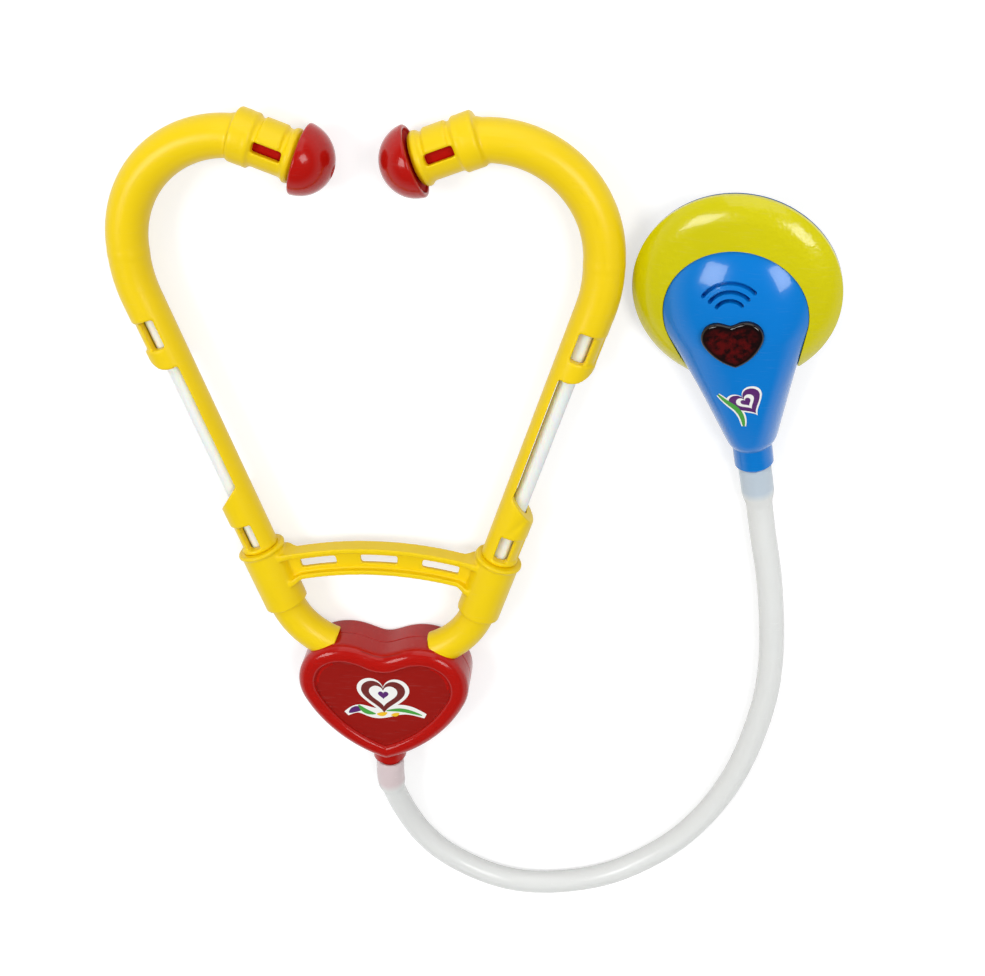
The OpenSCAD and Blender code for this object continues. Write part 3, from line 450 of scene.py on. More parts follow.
def softened(name, node_name, voxel, material, blocks=()):
    """Copy of a CAD node with its edges rounded: voxels of the size in millimetres, and then
    passes of smoothing that move each point towards its neighbours' mean and back again. Closed
    blocks of (points, faces) are joined to it first."""
    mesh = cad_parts[node_name].data.copy()
    bm = bmesh.new()
    bm.from_mesh(mesh)
    for points, faces in blocks:
        block = mesh_from("block", points, faces)
        bm.from_mesh(block)
        bpy.data.meshes.remove(block)
    bmesh.ops.remove_doubles(bm, verts=bm.verts, dist=10 * MERGE_M)
    bm.to_mesh(mesh)
    bm.free()
    rough = placed(name + "_rough", mesh)
    remesh = rough.modifiers.new("voxels", "REMESH")
    remesh.mode = "VOXEL"
    remesh.voxel_size = voxel * MM
    made = applied(rough)
    bpy.data.objects.remove(rough)
    points = points_of(made)
    count = len(points)
    edges = np.empty(len(made.edges) * 2, np.int64)
    made.edges.foreach_get("vertices", edges)
    a, b = edges.reshape(-1, 2).T
    degree = np.maximum(np.bincount(a, minlength=count) + np.bincount(b, minlength=count), 1)
    for step in SMOOTH_STEPS * SMOOTH_PASSES:
        sums = [np.bincount(a, points[b, k], count) + np.bincount(b, points[a, k], count) for k in range(3)]
        points = points + step * (np.stack(sums, -1) / degree[:, None] - points)
    made.vertices.foreach_set("co", points.ravel())
    made.name = name
    made.shade_smooth()
    made.materials.clear()
    made.materials.append(material)
    return placed(name, made)


yellow_plastic = moulding("yellow_satin", YELLOW, 0.36, drift=0.08, scuff=0.02, grain=0.05,
                          Coat_Weight=0.08, Coat_Roughness=0.2, Specular_IOR_Level=0.28)
collar = np.concatenate((
    [(CAGE_BORE_R, COLLAR_IN), (CAGE_BORE_R, -COLLAR_BACK)],
    arc((RING_R - COLLAR_ROUND, COLLAR_ROUND - COLLAR_BACK), COLLAR_ROUND, -90, 0, 6),
    [(RING_R, COLLAR_IN)]))
plug = arc((0, -PLUG_BACK), PLUG_R, -90, 90, 33)
panel_outline = np.concatenate((arc((0, 0), CAGE_PANEL_R, *CAGE_PANEL_TURN, 24),
                                arc((0, 0), CAGE_BORE_R, *CAGE_PANEL_TURN[::-1], 24)))
panel_low = RING_T + CAGE_PANEL_GAP
panel, panel_faces = upright(panel_outline, panel_low, CAGE_LEN - panel_low)
collar_faces = grid_faces(len(collar), EAR_SIDES, wrap_rows=True)
plug_faces = grid_faces(len(plug), PLUG_SIDES)
for side, sign in SIDES:
    ear_at, ear_axis = ear_frame(sign)
    cage_axes = np.array(((0.0, 0.0, 1.0), (sign * EAR_AXIS[1], -EAR_AXIS[0], 0.0), ear_axis))
    blocks = [(lathe(collar, ear_at, ear_axis, EAR_SIDES), collar_faces),
              (lathe(plug, ear_at, ear_axis, PLUG_SIDES), plug_faces),
              (panel @ cage_axes + ear_at, panel_faces)]
    ear_tube = softened(side + "_ear_tube", side + "_arm", ARM_VOXEL, yellow_plastic, blocks)
    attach(ear_tube, side + "_arm_body")
    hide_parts(side + "_arm")

# Arm tubes
# A thin milky tube of soft vinyl runs inside each arm. It shows along the open stretch and in the
# windows, and keeps its CAD shape.
arm_vinyl = moulding("arm_tube_vinyl", linear(241, 242, 239), 0.38, drift=0.05, scuff=0.04,
                     Subsurface_Weight=0.3, Subsurface_Scale=0.002)


def dress(node_name, material):
    """Gives a CAD node's material slots the material."""
    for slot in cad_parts[node_name].material_slots:
        slot.material = material


for side, sign in SIDES:
    dress(side + "_arm_tube", arm_vinyl)

# Yoke
# One yellow moulding joins both arms: two sockets, a slotted arch between them, and two curved
# stubs that are clamped between the halves of the heart. The arch is drawn thinner about its slots.
YOKE_VOXEL = 0.36
ARCH_C = (0.0, -58.14)
ARCH_MID_R = 114.0
ARCH_SLIM = 0.7
ARCH_FLAT = 0.6
ARCH_SLOT_HALF = 2.0
ARCH_REACH = 9.0
ARCH_HALF = (13.2, 15.4)
yoke = softened("yoke_moulding", "yoke", YOKE_VOXEL, yellow_plastic)
places = points_of(yoke.data) / MM
off = places[:, :2] - ARCH_C
span = np.hypot(*off.T)
lean = np.degrees(np.abs(np.arctan2(off[:, 0], off[:, 1])))
from_mid = span - ARCH_MID_R
slim = eased((ARCH_HALF[1] - lean) / (ARCH_HALF[1] - ARCH_HALF[0])) * (np.abs(from_mid) < ARCH_REACH)
places[:, 2] = EAR_AT[2] + (places[:, 2] - EAR_AT[2]) * (1 - (1 - ARCH_FLAT) * slim)
past_slot = np.sign(from_mid) * np.maximum(np.abs(from_mid) - ARCH_SLOT_HALF, 0)
places[:, :2] = ARCH_C + off * ((span - (1 - ARCH_SLIM) * slim * past_slot) / span)[:, None]
yoke.data.vertices.foreach_set("co", (places * MM).ravel())
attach(yoke, "hub")
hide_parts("yoke")

# Heart hub
# Two glossy red shells, screwed together from the back, with a round rim about a sunk panel.
# The outline is two lobes, two long flanks that touch them, and a shallow cleft.
LOBE = (13.0, 9.0, 16.0)
FLANK_R = 48.0
FLANK_A = np.radians(24.365)
FLANK_C = (-16.1499, 22.2015)
CLEFT_Y = 21.0
CLEFT_HALF = LOBE[0] - np.sqrt(LOBE[2] ** 2 - (CLEFT_Y - LOBE[1]) ** 2)
CLEFT_EASE = 70
EASE_FROM = 0.6
EASE_OVER = 0.25
HEART_N = 288
HEART_T = 18.0
HEART_SHARP = 0.8
SEAM_Z = 8.5
SEAM_ROUND = 0.25
SEAM_GAP = 0.02
SEAM_LIP = (2.0, 0.3)
RIM_R = 3.6
RIM_W = 6.0
PANEL_DEPTH = 1.6
PANEL_Z = HEART_T - PANEL_DEPTH
PANEL_GROOVE = (0.4, 0.15)
PANEL_IN = 1.2
PANEL_EDGE = 0.2
PANEL_REACH = 24.0
PANEL_RED = linear(152, 20, 13)
BACK_ROUND = 1.6
HEART_SCREWS = [(-13.0, 4.5), (13.0, 4.5), (0.0, -5.75)]
SCREW_WELL_D = 4.6
SCREW_WELL_Z = (-1.0, 3.2)
WELL_SIDES = 32


def ray_exit(x, y, radius, a):
    """Distance at which rays from the origin at angles a leave a circle, or 0 where they miss."""
    b = x * np.cos(a) + y * np.sin(a)
    q = radius ** 2 - x * x - y * y + b * b
    return np.where(q > 0, b + np.sqrt(np.maximum(q, 0)), 0)


def heart_ring(inset, z, share=1.0):
    """Heart outline as a distance by angle, drawn in by an inset: the larger of the lobes, the
    smaller of the flanks below the waist, and the cleft, with its corners eased."""
    a = np.arange(HEART_N) * 2 * np.pi / HEART_N
    up = np.sin(a)
    rising = up > 1e-6
    safe = np.where(rising, up, 1.0)
    lobe_r = LOBE[2] - inset
    flank_r = FLANK_R - inset
    lobes = np.maximum(ray_exit(LOBE[0], LOBE[1], lobe_r, a), ray_exit(-LOBE[0], LOBE[1], lobe_r, a))
    flanks = np.minimum(ray_exit(*FLANK_C, flank_r, a), ray_exit(-FLANK_C[0], FLANK_C[1], flank_r, a))
    waist = LOBE[1] - lobe_r * np.sin(FLANK_A)
    body = np.where(rising, np.minimum(flanks, np.abs(waist) / safe), flanks)
    valley = np.where(rising, (CLEFT_Y - inset) / safe, 0)
    bridged = np.where(np.abs(valley * np.cos(a)) < CLEFT_HALF + inset / 2, valley, 0)
    r = np.maximum.reduce((lobes, body, bridged))
    soft = r
    for _ in range(CLEFT_EASE):
        soft = (np.roll(soft, 1) + 2 * soft + np.roll(soft, -1)) / 4
    r = (r + np.clip((up - EASE_FROM) / EASE_OVER, 0, 1) * (soft - r)) * share
    return np.stack((r * np.cos(a), r * np.sin(a), np.full(HEART_N, float(z))), -1)


def pole(ring, x=0.0, y=0.0):
    """Ring drawn together to one point, which closes a loft."""
    return np.broadcast_to((x, y, ring[0, 2]), ring.shape)


def quarter_turn(steps):
    """Even angles from zero to a quarter turn."""
    return np.linspace(0, np.pi / 2, steps)


def heart_loft(name, rings):
    """Red piece over a stack of heart rings."""
    return piece_from(name, np.stack(rings), grid_faces(len(rings), HEART_N), red_plastic, sharp=HEART_SHARP)


def carve(piece, cutters, sharp):
    """Cuts blocks of (points, faces) out of a piece and keeps the result as its mesh."""
    made = [piece_from(piece.name + "_cutter", *block, piece.data.materials[0]) for block in cutters]
    for cutter in made:
        cut = piece.modifiers.new("cut", "BOOLEAN")
        cut.solver = "EXACT"
        cut.operation = "DIFFERENCE"
        cut.object = cutter
    mesh = applied(piece)
    piece.modifiers.clear()
    piece.data = mesh
    mesh.shade_smooth()
    mesh.set_sharp_from_angle(angle=sharp)
    for cutter in made:
        bpy.data.objects.remove(cutter)


rings = [heart_ring(SEAM_LIP[0], SEAM_Z + SEAM_LIP[1]), heart_ring(SEAM_ROUND, SEAM_Z + SEAM_GAP),
         heart_ring(0.0, SEAM_Z + SEAM_ROUND)]
rings += [heart_ring(RIM_R * (1 - np.cos(t)), HEART_T - RIM_R * (1 - np.sin(t))) for t in quarter_turn(14)]
rings += [heart_ring(RIM_W - PANEL_DEPTH * (1 - np.sin(t)), HEART_T - PANEL_DEPTH * (1 - np.cos(t)))
          for t in quarter_turn(9)[1:]]
rings.append(heart_ring(RIM_W + PANEL_GROOVE[0], PANEL_Z - PANEL_GROOVE[1]))
rings += [heart_ring(RIM_W + PANEL_IN, PANEL_Z, share) for share in (1.0, 0.75, 0.5, 0.25)]
heart_front = heart_loft("heart_front", [pole(rings[0])] + rings + [pole(rings[-1])])
heart_front.data.materials.append(moulding("red_panel", PANEL_RED, 0.3, drift=0.12, scuff=0.03, grain=0.12,
                                           Specular_IOR_Level=0.25))
middles = np.empty(len(heart_front.data.polygons) * 3)
heart_front.data.polygons.foreach_get("center", middles)
middles = middles.reshape(-1, 3) / MM
sunk = (np.abs(middles[:, 2] - PANEL_Z) < PANEL_EDGE) & (np.hypot(*middles[:, :2].T) < PANEL_REACH)
heart_front.data.polygons.foreach_set("material_index", sunk.astype(np.int32))
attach(heart_front, "hub")
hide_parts("heart_front_shell")

rings = [heart_ring(BACK_ROUND * (1 - np.sin(t)), BACK_ROUND * (1 - np.cos(t))) for t in quarter_turn(9)]
rings += [heart_ring(0.0, SEAM_Z - SEAM_ROUND), heart_ring(SEAM_ROUND, SEAM_Z - SEAM_GAP),
          heart_ring(SEAM_LIP[0], SEAM_Z - SEAM_LIP[1])]
heart_back = heart_loft("heart_back", [pole(rings[0])] + rings + [pole(rings[-1])])
wells = [arc(place, SCREW_WELL_D / 2, 0, 360 - 360 / WELL_SIDES, WELL_SIDES) for place in HEART_SCREWS]
carve(heart_back, [upright(well, *SCREW_WELL_Z) for well in wells], HEART_SHARP)
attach(heart_back, "hub")
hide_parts("heart_back_shell")
dress("heart_spigot", red_plastic)

# Heart label
# A white die-cut paper label on the sunk panel, with a plain heart line over a leafy swash.
# It is flat print in layers of ink, each a hair above the one before.
LABEL_AT = (0.5, 2.2)
LABEL_Z = PANEL_Z + 0.05
INK_LIFT = 0.02
UNDER_LIFT = 0.005
INK_COLOURS = {"white": (240, 240, 236), "green": (70, 160, 60), "gold": (240, 190, 30),
               "violet": (88, 30, 108), "maroon": (112, 34, 30)}
BADGE_AT = (-0.4, 3.4)
BADGE_SIZE = 9.0
BADGE_INKS = [(1.0, "white"), (0.84, "maroon"), (0.54, "white"), (0.2, "violet")]
SWASH = [(-13.6, -5.6), (-9.0, -3.2), (-4.0, -4.6), (1.0, -3.8), (6.5, -2.6), (13.8, -4.9)]
SWASH_W = 4.6
SWASH_TAPER = 0.55
LEAF_TAPER = 0.8
LEAVES = [
    ([(-12.6, -5.2), (-10.0, -3.4), (-7.4, -3.2)], 2.4, "violet"),
    ([(-9.2, -1.6), (-6.6, -4.2), (-3.4, -5.0)], 1.9, "green"),
    ([(-3.0, -5.0), (-1.2, -5.0), (0.6, -4.2)], 1.7, "gold"),
    ([(0.4, -3.4), (5.0, -2.8), (12.6, -4.6)], 1.5, "green"),
    ([(2.0, -5.2), (3.4, -4.9), (4.8, -4.2)], 1.5, "gold")]
RIBBON_STEPS = 40


def ribbon(line, width, taper):
    """Flat strip of a width about a smooth line, thinner by a taper at its ends: its points on
    both sides, and its quads."""
    p = smooth_path(np.column_stack((line, np.zeros(len(line)))), RIBBON_STEPS)[:, :2]
    t = np.gradient(p, axis=0)
    n = np.stack((-t[:, 1], t[:, 0]), -1)
    n /= np.linalg.norm(n, axis=1)[:, None]
    half = width / 2 * (1 - taper * np.linspace(-1, 1, len(p)) ** 2)[:, None]
    i = np.arange(len(p) - 1)
    m = len(p)
    return np.concatenate((p + n * half, p - n * half)), np.stack((i, i + 1, i + 1 + m, i + m), -1)


def heart_line(centre, size, count=73):
    """Closed heart curve of a half width, from the sine cubed and a sum of four cosines."""
    a = np.linspace(0, 2 * np.pi, count)
    tall = 13 * np.cos(a) - 5 * np.cos(2 * a) - 2 * np.cos(3 * a) - np.cos(4 * a)
    return np.stack((centre[0] + size * np.sin(a) ** 3, centre[1] + size * tall / 16), -1)


def filled(line, centre, steps=9):
    """Patch inside a closed line: rings drawn together to a centre."""
    line = np.asarray(line)[:-1]
    k = np.linspace(0.02, 1, steps)[:, None, None]
    return (np.asarray(centre) + k * (line - centre)).reshape(-1, 2), grid_faces(steps, len(line))


def hearts(centre, rows):
    """Printed hearts about one centre from rows of (size, ink), each a little above the last."""
    return [(*filled(heart_line(centre, size), centre), ink, number * INK_LIFT)
            for number, (size, ink) in enumerate(rows)]


def add_print(name, parts, place, body="hub"):
    """One flat label mesh from parts of (points, faces, ink, height), each put in place by a
    function from flat points and a height to the shared frame."""
    points, faces, index, used = [], [], [], []
    for flat, polygons, ink, height in parts:
        start = sum(len(p) for p in points)
        points.append(place(np.asarray(flat, float), height))
        if ink not in used:
            used.append(ink)
        faces += (polygons + start).tolist()
        index += [used.index(ink)] * len(polygons)
    mesh = mesh_from(name, np.concatenate(points), faces)
    for ink in used:
        mesh.materials.append(inks[ink])
    mesh.polygons.foreach_set("material_index", index)
    label = placed(name, mesh)
    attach(label, body)


def on_panel(flat, up):
    """Flat label points laid on the heart's sunk panel."""
    return np.column_stack((flat + LABEL_AT, np.full(len(flat), LABEL_Z + up)))


inks = {name: moulding("label_" + name, linear(*colour), 0.5, drift=0.05, scuff=0.04, grain=0.15)
        for name, colour in INK_COLOURS.items()}
heart_print = hearts(BADGE_AT, [(share * BADGE_SIZE, ink) for share, ink in BADGE_INKS])
heart_print.append((*ribbon(SWASH, SWASH_W, SWASH_TAPER), "white", UNDER_LIFT))
heart_print += [(*ribbon(line, width, LEAF_TAPER), ink, (2 + number) * INK_LIFT)
                for number, (line, width, ink) in enumerate(LEAVES)]
add_print("heart_label", heart_print, on_panel)

# Chest piece
# A yellow-green domed disc under a blue teardrop cover, on a blue base. It leans on the edge of
# its base and on its neck. Heights are over the disc's lower edge, and the neck is towards -Y.
CHEST_AT = np.array((103.9, 149.0, 12.2361))
LEAN_BACK, LEAN_SIDE, TURN = np.radians((8.5, -14.5, 10.5))
DISC_R = 28.5
DISC_H = 6.5
EDGE_H = 1.2
DISC_ROUND = 11.0
DISC_DROP = 6.0
DISC_RISE = DISC_H + DISC_DROP
DISC_ROUND_X = DISC_R - np.sqrt(DISC_ROUND ** 2 - (EDGE_H + DISC_DROP) ** 2)
DISC_CAP_R = (DISC_ROUND_X ** 2 + DISC_RISE ** 2 - DISC_ROUND ** 2) / (2 * (DISC_RISE - DISC_ROUND))
DISC_FOOT = 0.05
DISC_TURN = (-50.5, 230.5)
DISC_COLUMNS = 260
DISC_ROWS = 40
COVER_R = 19.7
COVER_Y = 5.0
TAIL_R = 8.0
TAIL_Y = 44.5
COVER_GAP = 0.16
COVER_SLOPE = np.arcsin((COVER_R - TAIL_R) / (TAIL_Y - COVER_Y))


def turned(angle, axis):
    """Turn by an angle about the X, Y or Z axis, numbered 0 to 2."""
    i, j = (axis + 1) % 3, (axis + 2) % 3
    turn = np.eye(3)
    turn[[i, j], [i, j]] = np.cos(angle)
    turn[i, j] = -np.sin(angle)
    turn[j, i] = np.sin(angle)
    return turn


CHEST_TURN = turned(TURN, 2) @ turned(LEAN_SIDE, 1) @ turned(LEAN_BACK, 0)


def on_chest(points):
    """Points of the chest piece's own frame in the shared frame, one in each row."""
    return np.asarray(points).reshape(-1, 3) @ CHEST_TURN.T + CHEST_AT


lime_plastic = moulding("lime_gloss", linear(208, 199, 2), 0.22, drift=0.16, scuff=0.03, grain=0.05,
                        ripple=0.3, Coat_Weight=0.35, Coat_Roughness=0.06, Specular_IOR_Level=0.3)
turn = np.radians(np.linspace(*DISC_TURN, DISC_COLUMNS))
hole = COVER_R + COVER_GAP
lean = np.where(turn < np.pi / 2, turn, np.pi - turn)
near = np.where(lean < -COVER_SLOPE, hole / np.cos(lean + COVER_SLOPE), hole)
far = COVER_Y * np.sin(turn) + np.sqrt(DISC_R ** 2 - (COVER_Y * np.cos(turn)) ** 2)
near = np.minimum(near, far - DISC_FOOT)
ease = (1 - np.cos(np.linspace(0, np.pi, DISC_ROWS))) / 2
reach = near[None] + (far - near)[None] * ease[:, None]
x = reach * np.cos(turn)
y = reach * np.sin(turn) - COVER_Y
out = np.hypot(x, y)
cap = DISC_H - DISC_CAP_R + np.sqrt(DISC_CAP_R ** 2 - out ** 2)
shoulder = np.sqrt(np.maximum(DISC_ROUND ** 2 - (out - DISC_ROUND_X) ** 2, 0)) - DISC_DROP
height = np.where(out < DISC_ROUND_X * DISC_CAP_R / (DISC_CAP_R - DISC_ROUND), cap, shoulder)
foot_in = np.stack((x[0], y[0], np.zeros_like(turn)), -1)
foot_out = np.stack((x[-1], y[-1], np.full_like(turn, DISC_FOOT)), -1)
disc_rows = np.concatenate((foot_in[None], np.stack((x, y, height), -1), foot_out[None]))
rows = len(disc_rows)
first_end = [row * DISC_COLUMNS for row in range(rows)]
last_end = [start + DISC_COLUMNS - 1 for start in first_end]
disc_faces = grid_faces(rows, DISC_COLUMNS, wrap_rows=True, wrap_columns=False).tolist()
disc = piece_from("chest_dome", on_chest(disc_rows), disc_faces + [first_end, last_end[::-1]],
                  lime_plastic, sharp=0.7)
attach(disc, "hub")
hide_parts("chest_disc")
dress("diaphragm", lime_plastic)

# Cover
# Blue gloss moulding: a round dome over the disc that runs into a tail with a rolled edge. Three
# arc-shaped slots let the sound out above the heart-shaped lens. The base below it is duller.
COVER_H = 12.0
COVER_RIM = 5.0
COVER_FOOT = 0.05
COVER_LIP = 2.0
COVER_RINGS = 60
ROLL_H = 8.5
ROLL_W = 6.5
DOME_BULGE = 1.17
DOME_FROM = -34.0
DOME_TO = -8.0
COVER_MID = np.array((0.0, -COVER_Y - COVER_R / 2))
SLOTS = [(9.6, 8.5), (7.3, 6.2), (5.0, 3.9)]
SLOT_AT = (0.0, -1.9)
SLOT_HALF = 50
SLOT_STEPS = 40
SLOT_Z = (COVER_H - 5, COVER_H + 2)


def teardrop(inset, z, share=1.0, round_n=96, tail_n=56, side_n=26):
    """Ring of a large and a small arc and their common tangents, both radii less an inset, drawn
    together about the cover's middle by a share."""
    a = np.concatenate((np.linspace(-COVER_SLOPE, np.pi + COVER_SLOPE, round_n),
                        np.linspace(np.pi + COVER_SLOPE, 2 * np.pi - COVER_SLOPE, tail_n)))
    big = np.arange(round_n + tail_n) < round_n
    r = np.where(big, COVER_R, TAIL_R) - inset
    flat = np.stack((r * np.cos(a), r * np.sin(a) - np.where(big, COVER_Y, TAIL_Y)), -1)
    side = np.linspace(0, 1, side_n)[1:-1, None]
    left = flat[round_n - 1] + side * (flat[round_n] - flat[round_n - 1])
    right = flat[-1] + side * (flat[0] - flat[-1])
    flat = np.concatenate((flat[:round_n], left, flat[round_n:], right))
    flat = COVER_MID + share * (flat - COVER_MID)
    return np.column_stack((flat, np.full(len(flat), float(z))))


def cover_height(flat, share):
    """Height of the cover over flat points that lie at a share of the way from its middle to its
    edge. The dome is a part of a sphere by share. The tail's rolled edge is a quarter ellipse by
    the distance to the teardrop, and a low crown. The two are blended along the cover."""
    x = np.abs(flat[..., 0])
    v = -flat[..., 1] - COVER_Y
    b, c, h = np.sin(COVER_SLOPE), np.cos(COVER_SLOPE), TAIL_Y - COVER_Y
    along = c * v - b * x
    inside = np.where(along < 0, COVER_R - np.hypot(x, v),
                      np.where(along > c * h, TAIL_R - np.hypot(x, v - h), COVER_R - c * x - b * v))
    rolled = ROLL_H * np.sqrt(1 - (1 - np.clip(inside / ROLL_W, 0, 1)) ** 2)
    rolled = rolled + (COVER_H - ROLL_H) * (1 - share ** 2)
    low = np.sqrt(DOME_BULGE ** 2 - 1)
    dome = (np.sqrt(DOME_BULGE ** 2 - share ** 2) - low) / (DOME_BULGE - low)
    dome = COVER_RIM + (COVER_H - COVER_RIM) * dome
    return rolled + eased((flat[..., 1] - DOME_FROM) / (DOME_TO - DOME_FROM)) * (dome - rolled)


def slot_block(outer_r, inner_r):
    """Block of an arc-shaped slot with round ends."""
    middle = (outer_r + inner_r) / 2
    round_r = (outer_r - inner_r) / 2
    first, last = 90 - SLOT_HALF, 90 + SLOT_HALF
    right, left = arc(SLOT_AT, middle, first, last, 2)
    outline = np.concatenate((
        arc(SLOT_AT, outer_r, first, last, SLOT_STEPS),
        arc(left, round_r, last, last + 180, 9)[1:-1],
        arc(SLOT_AT, inner_r, last, first, SLOT_STEPS),
        arc(right, round_r, first + 180, first + 360, 9)[1:-1]))
    points, faces = upright(outline, *SLOT_Z)
    return on_chest(points), faces


blue_plastic = moulding("blue_gloss", linear(0, 121, 208), 0.2, drift=0.08, scuff=0.012, grain=0.02,
                        Coat_Weight=0.35, Coat_Roughness=0.04, Specular_IOR_Level=0.24)
base_blue = moulding("blue_satin", linear(4, 78, 138), 0.45, drift=0.08, scuff=0.03, grain=0.08,
                     Specular_IOR_Level=0.15)
rings = [teardrop(COVER_LIP, COVER_FOOT), teardrop(0.0, COVER_FOOT)]
for share in np.sin(np.linspace(np.pi / 2, 0.03, COVER_RINGS)):
    ring = teardrop(0.0, 0.0, share)
    ring[:, 2] = np.maximum(cover_height(ring[:, :2], share), COVER_FOOT + 0.01)
    rings.append(ring)
rings = np.stack([pole(rings[0], *COVER_MID)] + rings + [pole(rings[-1], *COVER_MID)])
cover = piece_from("chest_teardrop", on_chest(rings), grid_faces(*rings.shape[:2]), blue_plastic)
carve(cover, [slot_block(*radii) for radii in SLOTS], 0.5)
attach(cover, "hub")
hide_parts("chest_cover")
dress("chest_spigot", blue_plastic)
for name in ("chest_base", "battery_door"):
    dress(name, base_blue)

# Heart lens
# A dark red see-through window with a round edge, let into the cover above a small lamp.
# Its outline is the heart hub's at a smaller size.
LENS_SHARE = 17.0 / 58.0
LENS_Y = -10.5
LENS_FOOT = 8.0
LENS_TOP = COVER_H + 0.5
LENS_ROUND = 0.9
LENS_CROWN = 0.25
EDGE_SHADE_FADE = 0.12
FACET_GLINT_SCALE = 560.0


def lens_material():
    """Clear red plastic with painted shade that darkens it towards its round edge, by an attribute that is 1
    there, and painted glints and shade in place of facets, which show as darker and lighter flecks."""
    material, tree, shader, place = plain_material("lens_red")
    # Painted glints and shade: flecks that stand in for the lens's facets.
    flecks = ranged(tree, noise(tree, place, FACET_GLINT_SCALE, 5.0), 0.38, 0.62)
    middle = mixed(tree, flecks, linear(26, 2, 3), linear(92, 6, 7))
    # Painted shade: the colour darkens towards the round edge.
    edge = node(tree, "ShaderNodeAttribute", attribute_name="bevel_shade").outputs["Fac"]
    tree.links.new(mixed(tree, edge, middle, linear(18, 3, 4)), shader.inputs["Base Color"])
    shader.inputs["Roughness"].default_value = 0.08
    shader.inputs["Transmission Weight"].default_value = 0.12
    shader.inputs["IOR"].default_value = 1.49
    return material


rings = [heart_ring(0, LENS_FOOT, LENS_SHARE)]
for t in quarter_turn(12):
    drawn_in = LENS_ROUND * (1 - np.cos(t)) / LENS_SHARE
    rings.append(heart_ring(drawn_in, LENS_TOP - LENS_ROUND * (1 - np.sin(t)), LENS_SHARE))
for share in (0.8, 0.6, 0.4, 0.2):
    crown = LENS_TOP + LENS_CROWN * (1 - share * share)
    rings.append(heart_ring(LENS_ROUND / LENS_SHARE, crown, LENS_SHARE * share))
rings = np.stack([pole(rings[0])] + rings + [pole(rings[-1])]) + (0, LENS_Y, 0)
window = piece_from("lens_window", on_chest(rings), grid_faces(len(rings), HEART_N),
                    lens_material(), sharp=0.9)
up = ((points_of(window.data) / MM - CHEST_AT) @ CHEST_TURN)[:, 2]
# Where painted shade darkens the round edge: 1 up to the top of the edge, fading to 0 on the crown.
bevel_shade = window.data.attributes.new("bevel_shade", "FLOAT", "POINT")
bevel_shade.data.foreach_set("value", np.clip((LENS_TOP + EDGE_SHADE_FADE - up) / EDGE_SHADE_FADE, 0, 1).astype(np.float32))
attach(window, "hub")
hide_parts("heart_lens")

# Chest label
# A small paper label on the cover's tail, with a plain heart line and a stem. It is laid on the
# curved cover.
CHEST_LABEL = np.array((0.6, -29.2))
CHEST_LABEL_TURN = np.radians(28)
CHEST_LABEL_LIFT = 0.07
CHEST_HEART_AT = (1.2, 0)
CHEST_INKS = [(5.4, "white"), (4.7, "violet"), (2.7, "white"), (1.5, "violet")]
STEM = [(-4.6, 5.6), (-3.6, 2.4), (-2.6, -0.6), (-2.9, -4.0), (-4.4, -7.0)]
STEM_PAPER = (2.6, 0.5)
STEM_INK = (1.5, 0.6)


def on_cover(flat, up):
    """Flat label points turned, put on the tail and laid a little above the cover. The share of the
    way to the edge comes from the teardrop's distance along the same angle."""
    c, n = np.cos(CHEST_LABEL_TURN), np.sin(CHEST_LABEL_TURN)
    flat = flat @ np.array(((c, n), (-n, c))) + CHEST_LABEL
    off = flat - COVER_MID
    ring = teardrop(0.0, 0.0)[:, :2] - COVER_MID
    angles = np.arctan2(ring[:, 1], ring[:, 0])
    order = np.argsort(angles)
    limit = np.interp(np.arctan2(off[:, 1], off[:, 0]), angles[order],
                      np.linalg.norm(ring, axis=1)[order], period=2 * np.pi)
    share = np.linalg.norm(off, axis=1) / limit
    return on_chest(np.column_stack((flat, cover_height(flat, share) + CHEST_LABEL_LIFT + up)))


chest_print = hearts(CHEST_HEART_AT, CHEST_INKS)
chest_print.append((*ribbon(STEM, *STEM_PAPER), "white", UNDER_LIFT))
chest_print.append((*ribbon(STEM, *STEM_INK), "green", 1.5 * INK_LIFT))
add_print("chest_label", chest_print, on_cover)

# Inside and fixings
# Screws, cells, contact and spring are plain steel. The board, the speaker and the lamp sit under
# the cover and show only when it is taken apart.
STEEL_NODES = ("heart_screws", "chest_screws", "board_screws", "door_screw", "diaphragm_spring",
               "button_cells", "battery_contact")


def steel_material():
    """Drawn steel: fine lines along the piece and a low roughness that drifts."""
    material, tree, shader, place = plain_material("plain_steel")
    lines = node(tree, "ShaderNodeMapping", [("Vector", place), ("Scale", (1.0, 1.0, 30.0))])
    drawn = noise(tree, lines.outputs["Vector"], 300.0, 3.0)
    tree.links.new(ranged(tree, drawn, 0.0, 1.0, 0.22, 0.42), shader.inputs["Roughness"])
    shader.inputs["Base Color"].default_value = linear(190, 192, 196)
    shader.inputs["Metallic"].default_value = 1.0
    return material


steel = steel_material()
for name in STEEL_NODES:
    dress(name, steel)
dress("circuit_board", moulding("board_green", linear(28, 108, 60), 0.4, drift=0.1))
dress("speaker", moulding("speaker_black", linear(36, 36, 40), 0.55, drift=0.1))
dress("led", moulding("led_frosted", linear(236, 180, 170), 0.3, drift=0.05))

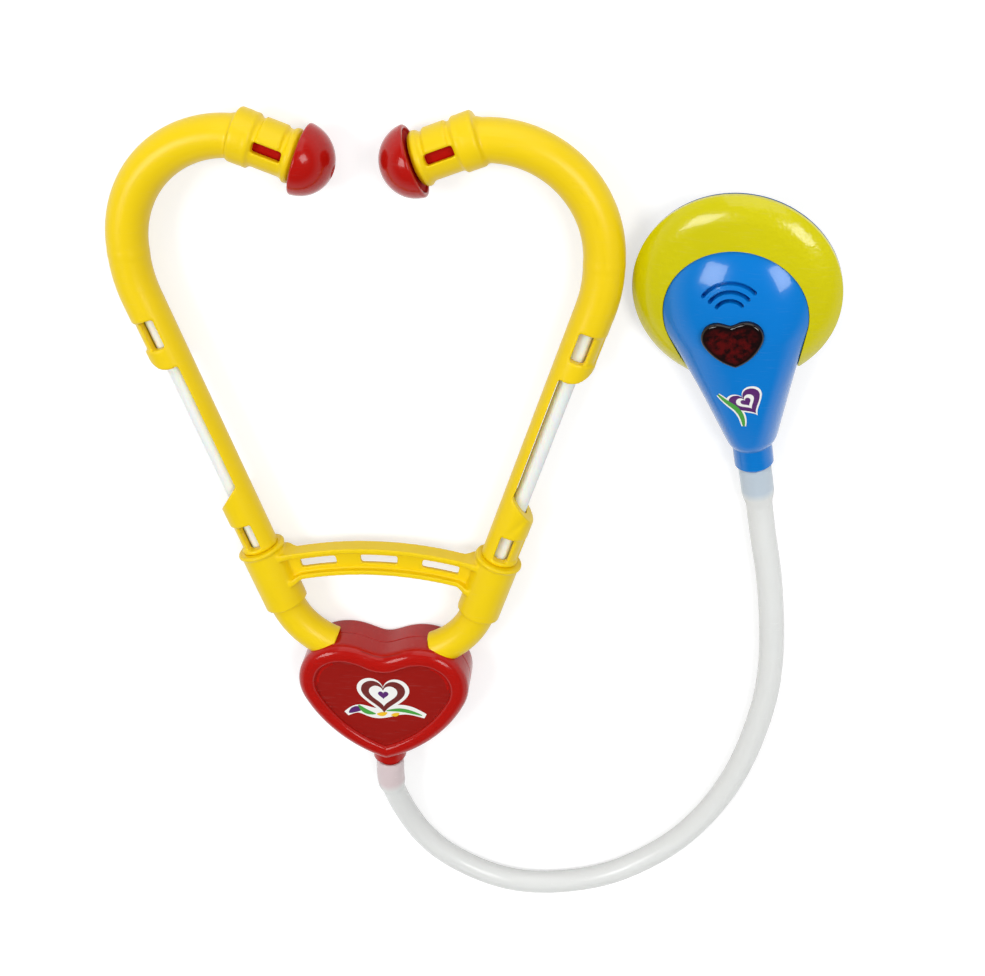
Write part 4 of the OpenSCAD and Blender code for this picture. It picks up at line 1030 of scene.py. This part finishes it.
# Table and light
# The table is a white sheet that keeps the shadows. Two square soft boxes stand left and right of
# the camera, with a weak fill lamp behind it. The room gives an even pale light, and glossy pieces
# mirror it as a white backdrop under a dim ceiling.
FLOOR_HALF = 0.75
FLOOR_SHADE = 0.6
FLOOR_GLOW = 0.55
FLOOR_FAR_GLOW = 0.9
FLOOR_EVENED = (0.3, 0.8)
ROOM_LIGHT = 0.42
BACKDROP_TOP = (0.2, 0.55)
CEILING_SEEN = 0.1
BOX_SIDE = 0.38
BOX_POWER = 3.9
BOX_PLACES = [(-0.58, 0.24, 0.90), (0.50, 0.36, 0.94)]
BOX_AIM = (0.05, 0.10, 0.0)
FILL_PLACE = (0.05, 1.05, 0.55)
FILL_SIDE = 0.9
FILL_POWER = 3.2
WHITE = (1, 1, 1, 1)


def straight_seen(tree):
    """1 for rays from the camera, mirror-like surfaces or glass, and 0 for diffuse light."""
    ray = tree.nodes.new("ShaderNodeLightPath").outputs
    first = reckon(tree, "MAXIMUM", ray["Is Camera Ray"], ray["Is Glossy Ray"])
    return reckon(tree, "MAXIMUM", first, ray["Is Transmission Ray"])


sheet, tree, shader, place = plain_material("white_sheet")
shader.inputs["Base Color"].default_value = (FLOOR_SHADE, FLOOR_SHADE, FLOOR_SHADE, 1)
shader.inputs["Roughness"].default_value = 0.9
shader.inputs["Specular IOR Level"].default_value = 0.0
away = node(tree, "ShaderNodeVectorMath", [(0, place)], operation="LENGTH").outputs["Value"]
evened = ranged(tree, away, *FLOOR_EVENED, FLOOR_GLOW, FLOOR_FAR_GLOW)
level = reckon(tree, "MULTIPLY", straight_seen(tree), evened)
glow = node(tree, "ShaderNodeEmission", [("Color", WHITE), ("Strength", level)])
lit = node(tree, "ShaderNodeAddShader", [(0, shader.outputs[0]), (1, glow.outputs[0])])
tree.links.new(lit.outputs[0], tree.nodes["Material Output"].inputs["Surface"])
floor_mesh = bpy.data.meshes.new("table_sheet")
floor_corners = [(x * FLOOR_HALF, y * FLOOR_HALF, 0) for x, y in ((-1, -1), (1, -1), (1, 1), (-1, 1))]
floor_mesh.from_pydata(floor_corners, [], [(0, 1, 2, 3)])
floor_mesh.materials.append(sheet)
table = placed("table_sheet", floor_mesh)

world = bpy.data.worlds.new("white_room")
world.use_nodes = True
scene.world = world
room = world.node_tree
background = room.nodes["Background"]
facing = room.nodes.new("ShaderNodeTexCoord").outputs["Generated"]
rise = node(room, "ShaderNodeSeparateXYZ", [("Vector", facing)]).outputs["Z"]
backdrop = ranged(room, rise, *BACKDROP_TOP, 1.0, CEILING_SEEN)
mirrored = room.nodes.new("ShaderNodeLightPath").outputs["Is Glossy Ray"]
seen = ranged(room, mirrored, 0.0, 1.0, 1.0, backdrop)
strength = ranged(room, straight_seen(room), 0.0, 1.0, ROOM_LIGHT, seen)
background.inputs["Color"].default_value = WHITE
room.links.new(strength, background.inputs["Strength"])
stands = [(place, BOX_SIDE, BOX_POWER) for place in BOX_PLACES] + [(FILL_PLACE, FILL_SIDE, FILL_POWER)]
for number, (place, side, power) in enumerate(stands):
    lamp = bpy.data.lights.new("soft_box_%d" % number, "AREA")
    lamp.shape = "SQUARE"
    lamp.size = side
    lamp.energy = power
    stand = placed(lamp.name, lamp)
    back = Vector(place) - Vector(BOX_AIM)
    stand.matrix_world = Matrix.Translation(place) @ back.to_track_quat("Z", "Y").to_matrix().to_4x4()
